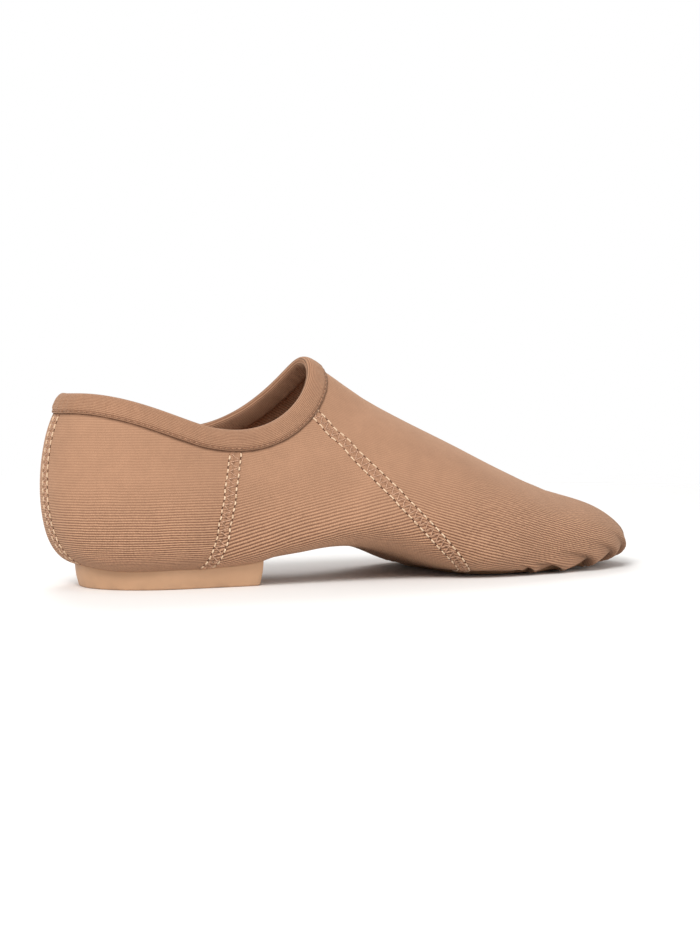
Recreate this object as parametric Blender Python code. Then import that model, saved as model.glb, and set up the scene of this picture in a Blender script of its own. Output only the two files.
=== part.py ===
"""Split-sole slip-on jazz shoe for a right foot, standing empty on its heel block and forefoot patch.

Metres, +Z up, +Y towards the toe, +X the outer side of the foot. The upper is a tube of closed rings: the
first ring is the collar, the next ones swing down round the heel about the throat, then stand across the
instep, then swing over the toe about the ball of the foot, and the last ring is the opening that the forefoot
patch closes. Every other piece is worked out from the same rings.
"""

import bpy
import numpy as np
from mathutils import Vector
from mathutils.bvhtree import BVHTree

for old_object in list(bpy.data.objects):
    bpy.data.objects.remove(old_object, do_unlink=True)

# Driving sizes of the last.
LENGTH = 0.2420
BALL_WIDTH = 0.0880
INSTEP_HEIGHT = 0.0800
BACK_HEIGHT = 0.0670

# Thicknesses and clearances.
CANVAS = 0.0015
SUEDE = 0.0014
SOCK = 0.0020
CLEAR = 0.0003
BED_CLEAR = 0.00045

# Steps of the faceted forms.
COLUMNS = 72
OUTER_RINGS = 32
INNER_RINGS = 22
FINE_RINGS = 277

# Pleats gathered into the front of the patch.
PLEAT_COLUMNS = 4
PLEAT_COUNT = 8
PLEAT_DEPTH = 0.0014
PLEAT_SINK = 0.5
PLEAT_FIRST_ROW = 17.5
PLEAT_FULL_ROW = 20.0
PLEAT_LAST_ROW = 22.0

# Form of the topline: where its dip lies between back and throat, and how softly it leaves both.
SAG_SKEW = 1.4
SAG_ROUND = 2.3

# Heel block: a round back, straight sides and a straight front with tight corners.
HEEL_BACK = 0.0125
HEEL_WIDEST = 0.0430
HEEL_FRONT = 0.0730
HEEL_HALF_WIDTH = 0.0250
HEEL_BACK_SQUARE = 2.1
HEEL_FRONT_SQUARE = 20.0
HEEL_DRAFT = 0.0012
HEEL_EDGE = 0.0007
HEEL_SHARES = (1.0, 0.91, 0.81, 0.62, 0.3)
HEEL_COLUMNS = 40

# Forefoot patch: round towards the toe, squared and slightly hollowed towards the arch.
PATCH_BACK = 0.1510
PATCH_WIDEST = 0.1840
PATCH_FRONT = 0.2185
PATCH_OFF = -0.0020
PATCH_OUTER = 0.0325
PATCH_INNER = 0.0320
PATCH_FRONT_SQUARE = 2.3
PATCH_BACK_SQUARE = 4.2
PATCH_HOLLOW = 0.0022
PATCH_SHARES = (1.0, 0.92, 0.76, 0.5, 0.2)
PATCH_BEVEL = 0.985
PATCH_COLUMNS = 36

# Insole: stations from heel to toe and places across it.
SOCK_STATIONS = 33
SOCK_ACROSS = 7
SOCK_BACK = 0.0095
SOCK_FRONT = 0.2330
SOCK_SIDE_GAP = 0.0018
SOCK_CROWD = 0.4
SOCK_AXIS_Y = (0.0, 0.1300, 0.2400)
SOCK_AXIS_X = (0.0, 0.0, -0.0092)

# Collar binding: a folded band over the edge of the wall.
BAND_WIDTH = 0.0070
BAND_THICK = 0.0008
BAND_ROUND = 0.0004

# Longer than any side of the shoe, for casting lines.
FAR = 0.5

# Rings from the collar to the opening under the forefoot. Each ring is a squared oval between its top end on
# the instep line and its low end on the back and bottom line.
RING_COLUMNS = (
    ("top_y", LENGTH),        # top end, forward of the heel
    ("top_x", BALL_WIDTH),    # top end, towards the outer side
    ("top_z", INSTEP_HEIGHT),
    ("low_y", LENGTH),        # low end, forward of the heel
    ("low_x", BALL_WIDTH),
    ("low_z", BACK_HEIGHT),
    ("outer", BALL_WIDTH),    # half width towards the outer side
    ("inner", BALL_WIDTH),    # half width towards the inner side
    ("sag", BACK_HEIGHT),     # how far the sides hang below the straight line between the ends
    ("wide", 1.0),            # place of the widest point between low and top end
    ("low_square", 1.0),      # squareness of the low half, 2 for an ellipse
    ("top_square", 1.0),      # squareness of the top half
    ("arch", BACK_HEIGHT),    # lift of the inner side under the arch
)
RINGS = np.array((
    # collar
    (0.4132, 0.000, 1.0000, 0.0326, 0.000, 1.0000, 0.2943, 0.2943, 0.310, 0.460, 2.12, 2.50, 0.000),
    (0.4318, 0.000, 0.9662, 0.0145, 0.000, 0.8657, 0.3136, 0.3125, 0.291, 0.445, 2.18, 2.45, 0.000),
    # back of the heel
    (0.4504, -0.003, 0.9325, 0.0037, 0.000, 0.7090, 0.3273, 0.3250, 0.246, 0.430, 2.25, 2.40, 0.000),
    (0.4669, -0.006, 0.9012, 0.0004, 0.000, 0.5448, 0.3352, 0.3318, 0.187, 0.410, 2.35, 2.35, 0.000),
    (0.4814, -0.009, 0.8738, 0.0041, 0.000, 0.3881, 0.3409, 0.3352, 0.127, 0.395, 2.50, 2.30, 0.000),
    (0.4938, -0.011, 0.8512, 0.0178, 0.000, 0.2388, 0.3466, 0.3386, 0.075, 0.380, 2.90, 2.25, 0.000),
    # heel corner
    (0.5062, -0.014, 0.8287, 0.0475, 0.000, 0.1284, 0.3523, 0.3420, 0.037, 0.370, 3.80, 2.20, 0.000),
    # heel seat
    (0.5186, -0.017, 0.8088, 0.1033, 0.000, 0.0896, 0.3568, 0.3443, 0.015, 0.370, 5.20, 2.15, 0.000),
    (0.5331, -0.020, 0.7863, 0.1942, 0.000, 0.0851, 0.3636, 0.3477, 0.003, 0.375, 5.60, 2.10, 0.007),
    (0.5496, -0.024, 0.7612, 0.2893, 0.000, 0.1045, 0.3773, 0.3557, 0.000, 0.385, 4.60, 2.10, 0.037),
    # arch
    (0.5764, -0.028, 0.7213, 0.3802, 0.011, 0.1612, 0.4000, 0.3750, 0.000, 0.395, 3.60, 2.10, 0.075),
    (0.6136, -0.034, 0.6687, 0.4628, 0.017, 0.1731, 0.4284, 0.4068, 0.000, 0.390, 3.30, 2.10, 0.075),
    (0.6632, -0.040, 0.6000, 0.5331, 0.017, 0.1179, 0.4545, 0.4432, 0.000, 0.380, 3.40, 2.10, 0.037),
    # ball
    (0.7273, -0.045, 0.5100, 0.5826, 0.017, 0.0567, 0.4716, 0.4716, 0.000, 0.350, 3.70, 2.10, 0.012),
    (0.8017, -0.057, 0.4175, 0.6116, 0.014, 0.0313, 0.4773, 0.4841, 0.000, 0.320, 4.00, 2.10, 0.000),
    (0.8678, -0.077, 0.3525, 0.6281, 0.009, 0.0239, 0.4761, 0.4864, 0.000, 0.290, 4.00, 2.15, 0.000),
    # toes
    (0.9236, -0.091, 0.3050, 0.6384, 0.005, 0.0224, 0.4716, 0.4841, 0.000, 0.270, 4.00, 2.20, 0.000),
    (0.9649, -0.100, 0.2450, 0.6467, 0.000, 0.0224, 0.4659, 0.4784, 0.000, 0.255, 4.00, 2.20, 0.000),
    # toe tip
    (0.9917, -0.106, 0.1700, 0.6529, 0.000, 0.0224, 0.4557, 0.4682, 0.000, 0.250, 4.00, 2.20, 0.000),
    (0.9950, -0.105, 0.1125, 0.6591, 0.000, 0.0224, 0.4409, 0.4545, 0.000, 0.250, 4.00, 2.20, 0.000),
    # toe spring
    (0.9773, -0.100, 0.0700, 0.6653, 0.000, 0.0224, 0.4182, 0.4318, 0.000, 0.250, 3.80, 2.20, 0.000),
    (0.9421, -0.091, 0.0437, 0.6715, 0.000, 0.0224, 0.3818, 0.3955, 0.000, 0.250, 3.50, 2.20, 0.000),
    # patch edge
    (0.8988, -0.080, 0.0275, 0.6777, 0.000, 0.0224, 0.3273, 0.3409, 0.000, 0.260, 3.00, 2.20, 0.000),
    # opening
    (0.8512, -0.068, 0.0187, 0.6860, 0.000, 0.0224, 0.2557, 0.2670, 0.000, 0.280, 2.60, 2.20, 0.000),
))
RING_TABLE = RINGS * np.array([unit for name, unit in RING_COLUMNS])


def natural_spline(knots, values, at):
    """Cubic curve through each column of values, free of bend at both ends."""
    step = np.diff(knots)
    slope = np.diff(values, axis=0) / step[:, None]
    count = len(knots)
    system = np.eye(count)
    change = np.zeros_like(values)
    for row in range(1, count - 1):
        system[row, row - 1:row + 2] = (step[row - 1], 2 * (step[row - 1] + step[row]), step[row])
        change[row] = 6 * (slope[row] - slope[row - 1])
    bend = np.linalg.solve(system, change)
    cell = np.clip(np.searchsorted(knots, at, side="right") - 1, 0, count - 2)
    width = step[cell][:, None]
    ahead = (at - knots[cell])[:, None]
    behind = width - ahead
    return (
        (bend[cell] * behind**3 + bend[cell + 1] * ahead**3) / (6 * width)
        + (values[cell] / width - bend[cell] * width / 6) * behind
        + (values[cell + 1] / width - bend[cell + 1] * width / 6) * ahead
    )


def ring_rows(numbers):
    """Table rows at any row numbers, on a cubic curve stepped by the distances between the rings' ends."""
    top_step = np.linalg.norm(np.diff(RING_TABLE[:, 0:3], axis=0), axis=1)
    low_step = np.linalg.norm(np.diff(RING_TABLE[:, 3:6], axis=0), axis=1)
    knots = np.concatenate(((0.0,), np.cumsum(top_step + low_step)))
    at = np.interp(numbers, np.arange(len(knots)), knots)
    return natural_spline(knots, RING_TABLE, at)


def squared_oval(angle, square):
    """Side and forward place on an oval of half size 1: squareness 2 is a circle, more fills its corners."""
    reach = (np.abs(np.cos(angle))**square + np.abs(np.sin(angle))**square)**(-1 / square)
    return np.sin(angle) * reach, np.cos(angle) * reach


def ring_points(rows, angle):
    """Points of the rings: angle 0 at the low end, +-pi at the top end, positive on the outer side."""
    column = {name: rows[:, place, None] for place, (name, unit) in enumerate(RING_COLUMNS)}
    turn = (1 - np.cos(angle)) / 2
    square = column["low_square"] + (column["top_square"] - column["low_square"]) * turn
    side, along = squared_oval(angle, square)
    share = column["wide"] - along * np.where(along > 0, column["wide"], 1 - column["wide"])
    half = np.where(side > 0, column["outer"], column["inner"])
    hang = column["sag"] * np.sin(np.pi * (np.abs(angle) / np.pi)**SAG_SKEW)**SAG_ROUND
    lift = column["arch"] * np.minimum(side, 0.0)**2 * (1 - share)**2
    return np.stack((
        column["low_x"] + share * (column["top_x"] - column["low_x"]) + side * half,
        column["low_y"] + share * (column["top_y"] - column["low_y"]),
        column["low_z"] + share * (column["top_z"] - column["low_z"]) - hang + lift,
    ), axis=-1)


def outward(points):
    """Unit normals of a ring grid that closes round the tube."""
    round_tube = np.roll(points, -1, axis=1) - np.roll(points, 1, axis=1)
    along_tube = np.gradient(points, axis=0)
    normal = np.cross(along_tube, round_tube)
    return normal / np.linalg.norm(normal, axis=-1, keepdims=True)


def pleat_height(row_number, angle):
    """Rounded folds with sharp valleys between them, gathered at the front of the patch."""
    rise = np.clip((row_number - PLEAT_FIRST_ROW) / (PLEAT_FULL_ROW - PLEAT_FIRST_ROW), 0, 1)
    fall = np.clip((PLEAT_LAST_ROW - row_number) / (PLEAT_LAST_ROW - PLEAT_FULL_ROW), 0, 1)
    from_top = np.pi - np.abs(angle)
    pleat_angle = PLEAT_COLUMNS * 2 * np.pi / COLUMNS
    inside = from_top < PLEAT_COUNT / 2 * pleat_angle
    fold = np.abs(np.sin(np.pi * from_top / pleat_angle)) * inside
    return PLEAT_DEPTH * (rise * fall)[:, None] * (fold - PLEAT_SINK * inside)


def make_mesh(name, points, faces, material):
    """One named object from points and faces."""
    mesh = bpy.data.meshes.new(name)
    mesh.from_pydata([tuple(point) for point in points], [], faces)
    mesh.update()
    mesh.materials.append(material)
    made = bpy.data.objects.new(name, mesh)
    bpy.context.collection.objects.link(made)
    return made


def loop_faces(loops, count, wrap):
    """Quads between following loops of equal length, and back to the first loop for a closed tube."""
    faces = []
    for loop in range(loops if wrap else loops - 1):
        here = loop * count
        there = (loop + 1) % loops * count
        for place in range(count):
            after = (place + 1) % count
            faces.append((here + place, here + after, there + after, there + place))
    return faces


def capped_faces(loops, count):
    """Faces of loops between a first and a last point, which follow the loops in the point list."""
    faces = loop_faces(loops, count, False)
    first = loops * count
    end = (loops - 1) * count
    for place in range(count):
        after = (place + 1) % count
        faces.append((first, after, place))
        faces.append((first + 1, end + place, end + after))
    return faces


def surface_material(name, colour, roughness):
    """Plain matt surface of a named colour, given in sRGB values up to 255."""
    share = np.array(colour) / 255
    linear = np.where(share < 0.04045, share / 12.92, ((share + 0.055) / 1.055)**2.4)
    made = bpy.data.materials.new(name)
    made.use_nodes = True
    shader = made.node_tree.nodes["Principled BSDF"]
    shader.inputs["Base Color"].default_value = (*linear, 1.0)
    shader.inputs["Roughness"].default_value = roughness
    shader.inputs["Metallic"].default_value = 0.0
    return made


def skin_tree(skin):
    """Search tree of a ring skin, with its last ring closed."""
    rings = len(skin)
    faces = loop_faces(rings, COLUMNS, False)
    faces.append(tuple(range((rings - 1) * COLUMNS, rings * COLUMNS)))
    return BVHTree.FromPolygons(skin.reshape(-1, 3).tolist(), faces)


def cast(tree, start, direction):
    """First point of a surface met from a start point in a direction."""
    return np.array(tree.ray_cast(Vector(start), Vector(direction))[0])


def under_upper(points):
    """Heights of the upper's underside above points on the floor."""
    return np.array([cast(under_tree, (x, y, -FAR), (0, 0, 1))[2] for x, y in points])


def disc_mesh(name, top_loops, low_loops, material):
    """Closed plate from loops that run from a middle out over the top and back under it."""
    loops = np.concatenate((top_loops[::-1], low_loops))
    middles = np.stack((top_loops[-1].mean(axis=0), low_loops[-1].mean(axis=0)))
    count = loops.shape[1]
    points = np.concatenate((loops.reshape(-1, 3), middles))
    return make_mesh(name, points, capped_faces(len(loops), count), material)


ANGLES = np.linspace(-np.pi, np.pi, COLUMNS, endpoint=False)
LAST_ROW = len(RING_TABLE) - 1

fine_numbers = np.linspace(0, LAST_ROW, FINE_RINGS)
fine_points = ring_points(ring_rows(fine_numbers), ANGLES)
middle = (fine_points.min(axis=(0, 1)) + fine_points.max(axis=(0, 1))) / 2
ORIGIN = np.array((middle[0], middle[1], 0.0))
fine_points = fine_points - ORIGIN
fine_normals = outward(fine_points)

canvas = surface_material("canvas", (190, 143, 112), 0.85)
binding = surface_material("binding", (180, 132, 100), 0.8)
rubber = surface_material("heel_rubber", (172, 126, 97), 0.6)
suede = surface_material("suede", (140, 103, 76), 0.95)
sock = surface_material("sock", (186, 144, 114), 0.9)

# Upper: inner rings from the collar to the opening underneath, then the outer rings back again.
outer_pick = np.linspace(0, FINE_RINGS - 1, OUTER_RINGS).round().astype(int)
inner_pick = np.linspace(0, FINE_RINGS - 1, INNER_RINGS).round().astype(int)
pleats = pleat_height(fine_numbers[outer_pick], ANGLES)
outer_skin = fine_points[outer_pick] + fine_normals[outer_pick] * pleats[..., None]
inner_skin = fine_points[inner_pick] - fine_normals[inner_pick] * CANVAS
upper_points = np.concatenate((inner_skin, outer_skin[::-1])).reshape(-1, 3)
upper_faces = loop_faces(OUTER_RINGS + INNER_RINGS, COLUMNS, True)
make_mesh("upper", upper_points, upper_faces, canvas)

# The skins that the other pieces rest on, closed over the opening underneath.
under_tree = skin_tree(outer_skin)
inside_tree = skin_tree(inner_skin)


def plate_outline(angle, back, widest, front, halves, squares):
    """Outline on the floor: angle 0 straight ahead, positive on the outer side."""
    side, along = squared_oval(angle, np.where(np.cos(angle) > 0, squares[1], squares[0]))
    ahead = np.where(along > 0, front - widest, widest - back) * along
    across = np.where(side > 0, halves[0], halves[1]) * side
    return np.stack((across, widest + ahead), axis=-1) - ORIGIN[:2]


def with_height(outline, height):
    """Outline points at one height or one height each."""
    return np.column_stack((outline, np.broadcast_to(height, len(outline))))


def towards(outline, centre, share):
    """Outline drawn in towards a centre."""
    return centre + (outline - centre) * share


# Heel block: its top follows the canvas, its wall draws in downwards to a flat tread.
heel_angles = np.linspace(0, 2 * np.pi, HEEL_COLUMNS, endpoint=False)
heel_halves = (HEEL_HALF_WIDTH, HEEL_HALF_WIDTH)
heel_squares = (HEEL_BACK_SQUARE, HEEL_FRONT_SQUARE)
heel_ends = (HEEL_BACK, HEEL_WIDEST, HEEL_FRONT)
heel_outline = plate_outline(heel_angles, *heel_ends, heel_halves, heel_squares)
heel_centre = np.array((0.0, HEEL_WIDEST)) - ORIGIN[:2]
heel_top = []
for share in HEEL_SHARES:
    drawn = towards(heel_outline, heel_centre, share)
    heel_top.append(with_height(drawn, under_upper(drawn) - BED_CLEAR))
heel_wall = towards(heel_outline, heel_centre, 1 - HEEL_DRAFT / HEEL_HALF_WIDTH)
heel_tread = towards(heel_outline, heel_centre, 1 - (HEEL_DRAFT + HEEL_EDGE) / HEEL_HALF_WIDTH)
heel_low = [with_height(heel_wall, HEEL_EDGE), with_height(heel_tread, 0.0)]
disc_mesh("heel_block", np.array(heel_top), np.array(heel_low), rubber)

# Forefoot patch: of even thickness under the canvas, pressed flat where it stands on the floor.
patch_angles = np.linspace(0, 2 * np.pi, PATCH_COLUMNS, endpoint=False)
patch_halves = (PATCH_OUTER, PATCH_INNER)
patch_squares = (PATCH_BACK_SQUARE, PATCH_FRONT_SQUARE)
patch_ends = (PATCH_BACK, PATCH_WIDEST, PATCH_FRONT)
patch_outline = plate_outline(patch_angles, *patch_ends, patch_halves, patch_squares)
patch_outline[:, 0] += PATCH_OFF
patch_sides = (patch_outline[:, 0] + ORIGIN[0] - PATCH_OFF) / PATCH_OUTER
patch_rear = np.clip(-np.cos(patch_angles), 0, 1)
patch_outline[:, 1] += PATCH_HOLLOW * patch_rear * np.clip(1 - patch_sides**2, 0, 1)
patch_centre = np.array((PATCH_OFF, PATCH_WIDEST)) - ORIGIN[:2]
patch_top = []
patch_low = []
for share in PATCH_SHARES:
    drawn = towards(patch_outline, patch_centre, share)
    height = under_upper(drawn) - CLEAR
    patch_top.append(with_height(drawn, height))
    bevelled = towards(drawn, patch_centre, PATCH_BEVEL)
    patch_low.append(with_height(bevelled, np.maximum(height - SUEDE, 0.0)))
disc_mesh("forefoot_patch", np.array(patch_top), np.array(patch_low), suede)

# Insole: lies on the canvas inside, as wide as the walls leave room for.
sock_turn = np.linspace(0, 1, SOCK_STATIONS)
sock_share = sock_turn - SOCK_CROWD * np.sin(2 * np.pi * sock_turn) / (2 * np.pi)
sock_stations = SOCK_BACK + (SOCK_FRONT - SOCK_BACK) * sock_share - ORIGIN[1]
sock_axis = np.interp(sock_stations + ORIGIN[1], SOCK_AXIS_Y, SOCK_AXIS_X) - ORIGIN[0]
sock_loops = []
for x, y in zip(sock_axis, sock_stations):
    level = cast(inside_tree, (x, y, -FAR), (0, 0, 1))[2] + BED_CLEAR + SOCK
    right = cast(inside_tree, (x, y, level), (1, 0, 0))[0] - SOCK_SIDE_GAP
    left = cast(inside_tree, (x, y, level), (-1, 0, 0))[0] + SOCK_SIDE_GAP
    across = np.linspace(left, right, SOCK_ACROSS)
    floor_of_foot = [cast(inside_tree, (place, y, -FAR), (0, 0, 1))[2] for place in across]
    bed = np.array(floor_of_foot) + BED_CLEAR
    low = np.column_stack((across, np.full(SOCK_ACROSS, y), bed))
    sock_loops.append(np.concatenate((low + (0, 0, SOCK), low[::-1])))
sock_loops = np.array(sock_loops)
sock_count = 2 * SOCK_ACROSS
sock_faces = loop_faces(SOCK_STATIONS, sock_count, False)
for place in range(SOCK_ACROSS - 1):
    end = (place, sock_count - 1 - place, sock_count - 2 - place, place + 1)
    sock_faces.append(end)
    sock_faces.append(tuple(corner + (SOCK_STATIONS - 1) * sock_count for corner in reversed(end)))
make_mesh("insole", sock_loops.reshape(-1, 3), sock_faces, sock)

# Collar binding: places down from the edge and away from the wall, carried round the collar on both skins.
BAND_OUTSIDE = (
    (-CLEAR, CLEAR),
    (BAND_WIDTH / 2, CLEAR),
    (BAND_WIDTH, CLEAR),
    (BAND_WIDTH - BAND_ROUND, CLEAR + BAND_THICK),
    (BAND_WIDTH / 2, CLEAR + BAND_THICK),
    (0.0, CLEAR + BAND_THICK),
    (-CLEAR - BAND_THICK, CLEAR),
)
BAND_INSIDE = (
    (-CLEAR - BAND_THICK, CLEAR),
    (0.0, CLEAR + BAND_THICK),
    (BAND_WIDTH / 2, CLEAR + BAND_THICK),
    (BAND_WIDTH, CLEAR + BAND_THICK),
    (BAND_WIDTH, CLEAR),
    (BAND_WIDTH / 2, CLEAR),
    (-CLEAR, CLEAR),
)


def carry(skin, facing, section):
    """Loops of a section round the collar, each point down a column of the skin and away along its normal."""
    step = np.linalg.norm(np.diff(skin, axis=0), axis=2)
    walked = np.concatenate((np.zeros((1, COLUMNS)), np.cumsum(step, axis=0)))
    upward = (skin[0] - skin[1]) / step[0][:, None]
    loops = np.empty((len(section), COLUMNS, 3))
    for place in range(COLUMNS):
        for level, (down, away) in enumerate(section):
            along = walked[:, place]
            spot = np.array([np.interp(down, along, skin[:, place, axis]) for axis in range(3)])
            normal = np.array([np.interp(down, along, facing[:, place, axis]) for axis in range(3)])
            loops[level, place] = spot + normal * away + upward[place] * max(-down, 0.0)
    return loops


band_loops = np.concatenate((
    carry(outer_skin, fine_normals[outer_pick], BAND_OUTSIDE),
    carry(inner_skin, -fine_normals[inner_pick], BAND_INSIDE),
))
band_faces = loop_faces(len(band_loops), COLUMNS, True)
make_mesh("collar_binding", band_loops.reshape(-1, 3), band_faces, binding)
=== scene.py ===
"""Looks of the right-foot jazz shoe: ribbed stretch canvas sewn over the last, a bound collar, and a split
sole of a dimpled heel block and a sewn suede patch. Metres, +Z up, +Y towards the toe, +X the outer side.

The canvas is a surface of two parameters: a row number that runs from the collar to the opening under the
forefoot, and an angle round each ring, 0 on the back and bottom line, +-pi on the instep line, positive on
the outer side.
"""

import bpy
import numpy as np
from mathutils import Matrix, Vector


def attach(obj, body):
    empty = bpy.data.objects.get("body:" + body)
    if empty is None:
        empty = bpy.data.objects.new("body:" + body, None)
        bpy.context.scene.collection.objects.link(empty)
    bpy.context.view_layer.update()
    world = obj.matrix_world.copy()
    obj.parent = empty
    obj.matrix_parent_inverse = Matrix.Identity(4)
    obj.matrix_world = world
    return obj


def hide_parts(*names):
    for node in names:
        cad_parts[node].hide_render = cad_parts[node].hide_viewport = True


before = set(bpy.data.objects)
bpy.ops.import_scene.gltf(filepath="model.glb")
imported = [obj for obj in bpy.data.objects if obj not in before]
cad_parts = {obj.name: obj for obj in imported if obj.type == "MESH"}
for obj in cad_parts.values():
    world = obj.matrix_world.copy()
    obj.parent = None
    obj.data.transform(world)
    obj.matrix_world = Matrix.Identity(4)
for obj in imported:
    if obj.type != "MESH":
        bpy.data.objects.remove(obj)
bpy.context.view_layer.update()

MM = 0.001
BODY = "root"
# Points whose distances are measured at once.
AT_ONCE = 8000


# Sums and shares that serve everywhere
def unit(vectors):
    """Vectors scaled to length 1."""
    return vectors / np.linalg.norm(vectors, axis=-1, keepdims=True)


def steps_along(points):
    """Distance from each point of a line to the next."""
    return np.linalg.norm(np.diff(points, axis=0), axis=1)


def running_sum(steps):
    """Sum of the steps so far, from 0 before the first."""
    return np.concatenate(((0.0,), np.cumsum(steps)))


def way_along(points):
    """Way walked along a line up to each of its points."""
    return running_sum(steps_along(points))


def columns_at(at, walked, values):
    """Each column of values, given along a line, at other ways along it."""
    return np.stack([np.interp(at, walked, column) for column in values.T], axis=-1)


def turns(count, start=0.0):
    """Even angles once round, the last one short of the first."""
    return np.linspace(start, start + 2 * np.pi, count, endpoint=False)


def smooth(low, high, value):
    """0 below low, 1 above high, and an even S between them."""
    share = np.clip((value - low) / (high - low), 0, 1)
    return share * share * (3 - 2 * share)


def bell(away, half):
    """Bell of height 1: e to the minus square of the distance over the half width."""
    return np.exp(-(away / half)**2)


def least(points, distances):
    """Least of the distances that a function finds for each point, some thousands of points at a time."""
    flat = points.reshape(-1, points.shape[-1])
    parts = np.array_split(flat, max(1, len(flat) // AT_ONCE))
    return np.concatenate([distances(part).min(axis=1) for part in parts]).reshape(points.shape[:-1])


def spline_bends(knots, values):
    """Second differences of the cubic curve through each column of values, zero at both ends."""
    step = np.diff(knots)
    slope = np.diff(values, axis=0) / step[:, None]
    inner = np.arange(1, len(knots) - 1)
    system = np.eye(len(knots))
    system[inner, inner - 1] = step[:-1]
    system[inner, inner] = 2 * (step[:-1] + step[1:])
    system[inner, inner + 1] = step[1:]
    change = np.zeros_like(values)
    change[inner] = 6 * np.diff(slope, axis=0)
    return np.linalg.solve(system, change)


def spline(knots, values, at):
    """Cubic curve through each column of values, at any places between the knots."""
    bend = spline_bends(knots, values)
    cell = np.clip(np.searchsorted(knots, at, side="right") - 1, 0, len(knots) - 2)
    width = np.diff(knots)[cell][:, None]
    ahead = (at - knots[cell])[:, None]
    behind = width - ahead
    return (
        (bend[cell] * behind**3 + bend[cell + 1] * ahead**3) / (6 * width)
        + (values[cell] / width - bend[cell] * width / 6) * behind
        + (values[cell + 1] / width - bend[cell + 1] * width / 6) * ahead
    )


# The last
LENGTH = 0.2420
BALL_WIDTH = 0.0880
INSTEP_HEIGHT = 0.0800
BACK_HEIGHT = 0.0670
CANVAS = 1.5 * MM
SUEDE = 1.4 * MM
SAG_SKEW = 1.4
SAG_ROUND = 2.3
RING_UNITS = np.array((
    LENGTH, BALL_WIDTH, INSTEP_HEIGHT, LENGTH, BALL_WIDTH, BACK_HEIGHT,
    BALL_WIDTH, BALL_WIDTH, BACK_HEIGHT, 1.0, 1.0, 1.0, BACK_HEIGHT,
))
# top end y, x, z; low end y, x, z; half width outer, inner; sag; widest place; squareness low, top; arch lift
RINGS = RING_UNITS * np.array((
    (0.4132, 0.000, 1.0000, 0.0326, 0.000, 1.0000, 0.2943, 0.2943, 0.310, 0.460, 2.12, 2.50, 0.000),
    (0.4318, 0.000, 0.9662, 0.0145, 0.000, 0.8657, 0.3136, 0.3125, 0.291, 0.445, 2.18, 2.45, 0.000),
    (0.4504, -0.003, 0.9325, 0.0037, 0.000, 0.7090, 0.3273, 0.3250, 0.246, 0.430, 2.25, 2.40, 0.000),
    (0.4669, -0.006, 0.9012, 0.0004, 0.000, 0.5448, 0.3352, 0.3318, 0.187, 0.410, 2.35, 2.35, 0.000),
    (0.4814, -0.009, 0.8738, 0.0041, 0.000, 0.3881, 0.3409, 0.3352, 0.127, 0.395, 2.50, 2.30, 0.000),
    (0.4938, -0.011, 0.8512, 0.0178, 0.000, 0.2388, 0.3466, 0.3386, 0.075, 0.380, 2.90, 2.25, 0.000),
    (0.5062, -0.014, 0.8287, 0.0475, 0.000, 0.1284, 0.3523, 0.3420, 0.037, 0.370, 3.80, 2.20, 0.000),
    (0.5186, -0.017, 0.8088, 0.1033, 0.000, 0.0896, 0.3568, 0.3443, 0.015, 0.370, 5.20, 2.15, 0.000),
    (0.5331, -0.020, 0.7863, 0.1942, 0.000, 0.0851, 0.3636, 0.3477, 0.003, 0.375, 5.60, 2.10, 0.007),
    (0.5496, -0.024, 0.7612, 0.2893, 0.000, 0.1045, 0.3773, 0.3557, 0.000, 0.385, 4.60, 2.10, 0.037),
    (0.5764, -0.028, 0.7213, 0.3802, 0.011, 0.1612, 0.4000, 0.3750, 0.000, 0.395, 3.60, 2.10, 0.075),
    (0.6136, -0.034, 0.6687, 0.4628, 0.017, 0.1731, 0.4284, 0.4068, 0.000, 0.390, 3.30, 2.10, 0.075),
    (0.6632, -0.040, 0.6000, 0.5331, 0.017, 0.1179, 0.4545, 0.4432, 0.000, 0.380, 3.40, 2.10, 0.037),
    (0.7273, -0.045, 0.5100, 0.5826, 0.017, 0.0567, 0.4716, 0.4716, 0.000, 0.350, 3.70, 2.10, 0.012),
    (0.8017, -0.057, 0.4175, 0.6116, 0.014, 0.0313, 0.4773, 0.4841, 0.000, 0.320, 4.00, 2.10, 0.000),
    (0.8678, -0.077, 0.3525, 0.6281, 0.009, 0.0239, 0.4761, 0.4864, 0.000, 0.290, 4.00, 2.15, 0.000),
    (0.9236, -0.091, 0.3050, 0.6384, 0.005, 0.0224, 0.4716, 0.4841, 0.000, 0.270, 4.00, 2.20, 0.000),
    (0.9649, -0.100, 0.2450, 0.6467, 0.000, 0.0224, 0.4659, 0.4784, 0.000, 0.255, 4.00, 2.20, 0.000),
    (0.9917, -0.106, 0.1700, 0.6529, 0.000, 0.0224, 0.4557, 0.4682, 0.000, 0.250, 4.00, 2.20, 0.000),
    (0.9950, -0.105, 0.1125, 0.6591, 0.000, 0.0224, 0.4409, 0.4545, 0.000, 0.250, 4.00, 2.20, 0.000),
    (0.9773, -0.100, 0.0700, 0.6653, 0.000, 0.0224, 0.4182, 0.4318, 0.000, 0.250, 3.80, 2.20, 0.000),
    (0.9421, -0.091, 0.0437, 0.6715, 0.000, 0.0224, 0.3818, 0.3955, 0.000, 0.250, 3.50, 2.20, 0.000),
    (0.8988, -0.080, 0.0275, 0.6777, 0.000, 0.0224, 0.3273, 0.3409, 0.000, 0.260, 3.00, 2.20, 0.000),
    (0.8512, -0.068, 0.0187, 0.6860, 0.000, 0.0224, 0.2557, 0.2670, 0.000, 0.280, 2.60, 2.20, 0.000),
))
LAST_ROW = len(RINGS) - 1.0
RING_KNOTS = running_sum(steps_along(RINGS[:, 0:3]) + steps_along(RINGS[:, 3:6]))
# Half steps of the row number and the angle between which a slope is taken.
HALF_ROW, HALF_ANGLE = 0.02, 0.008


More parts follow.
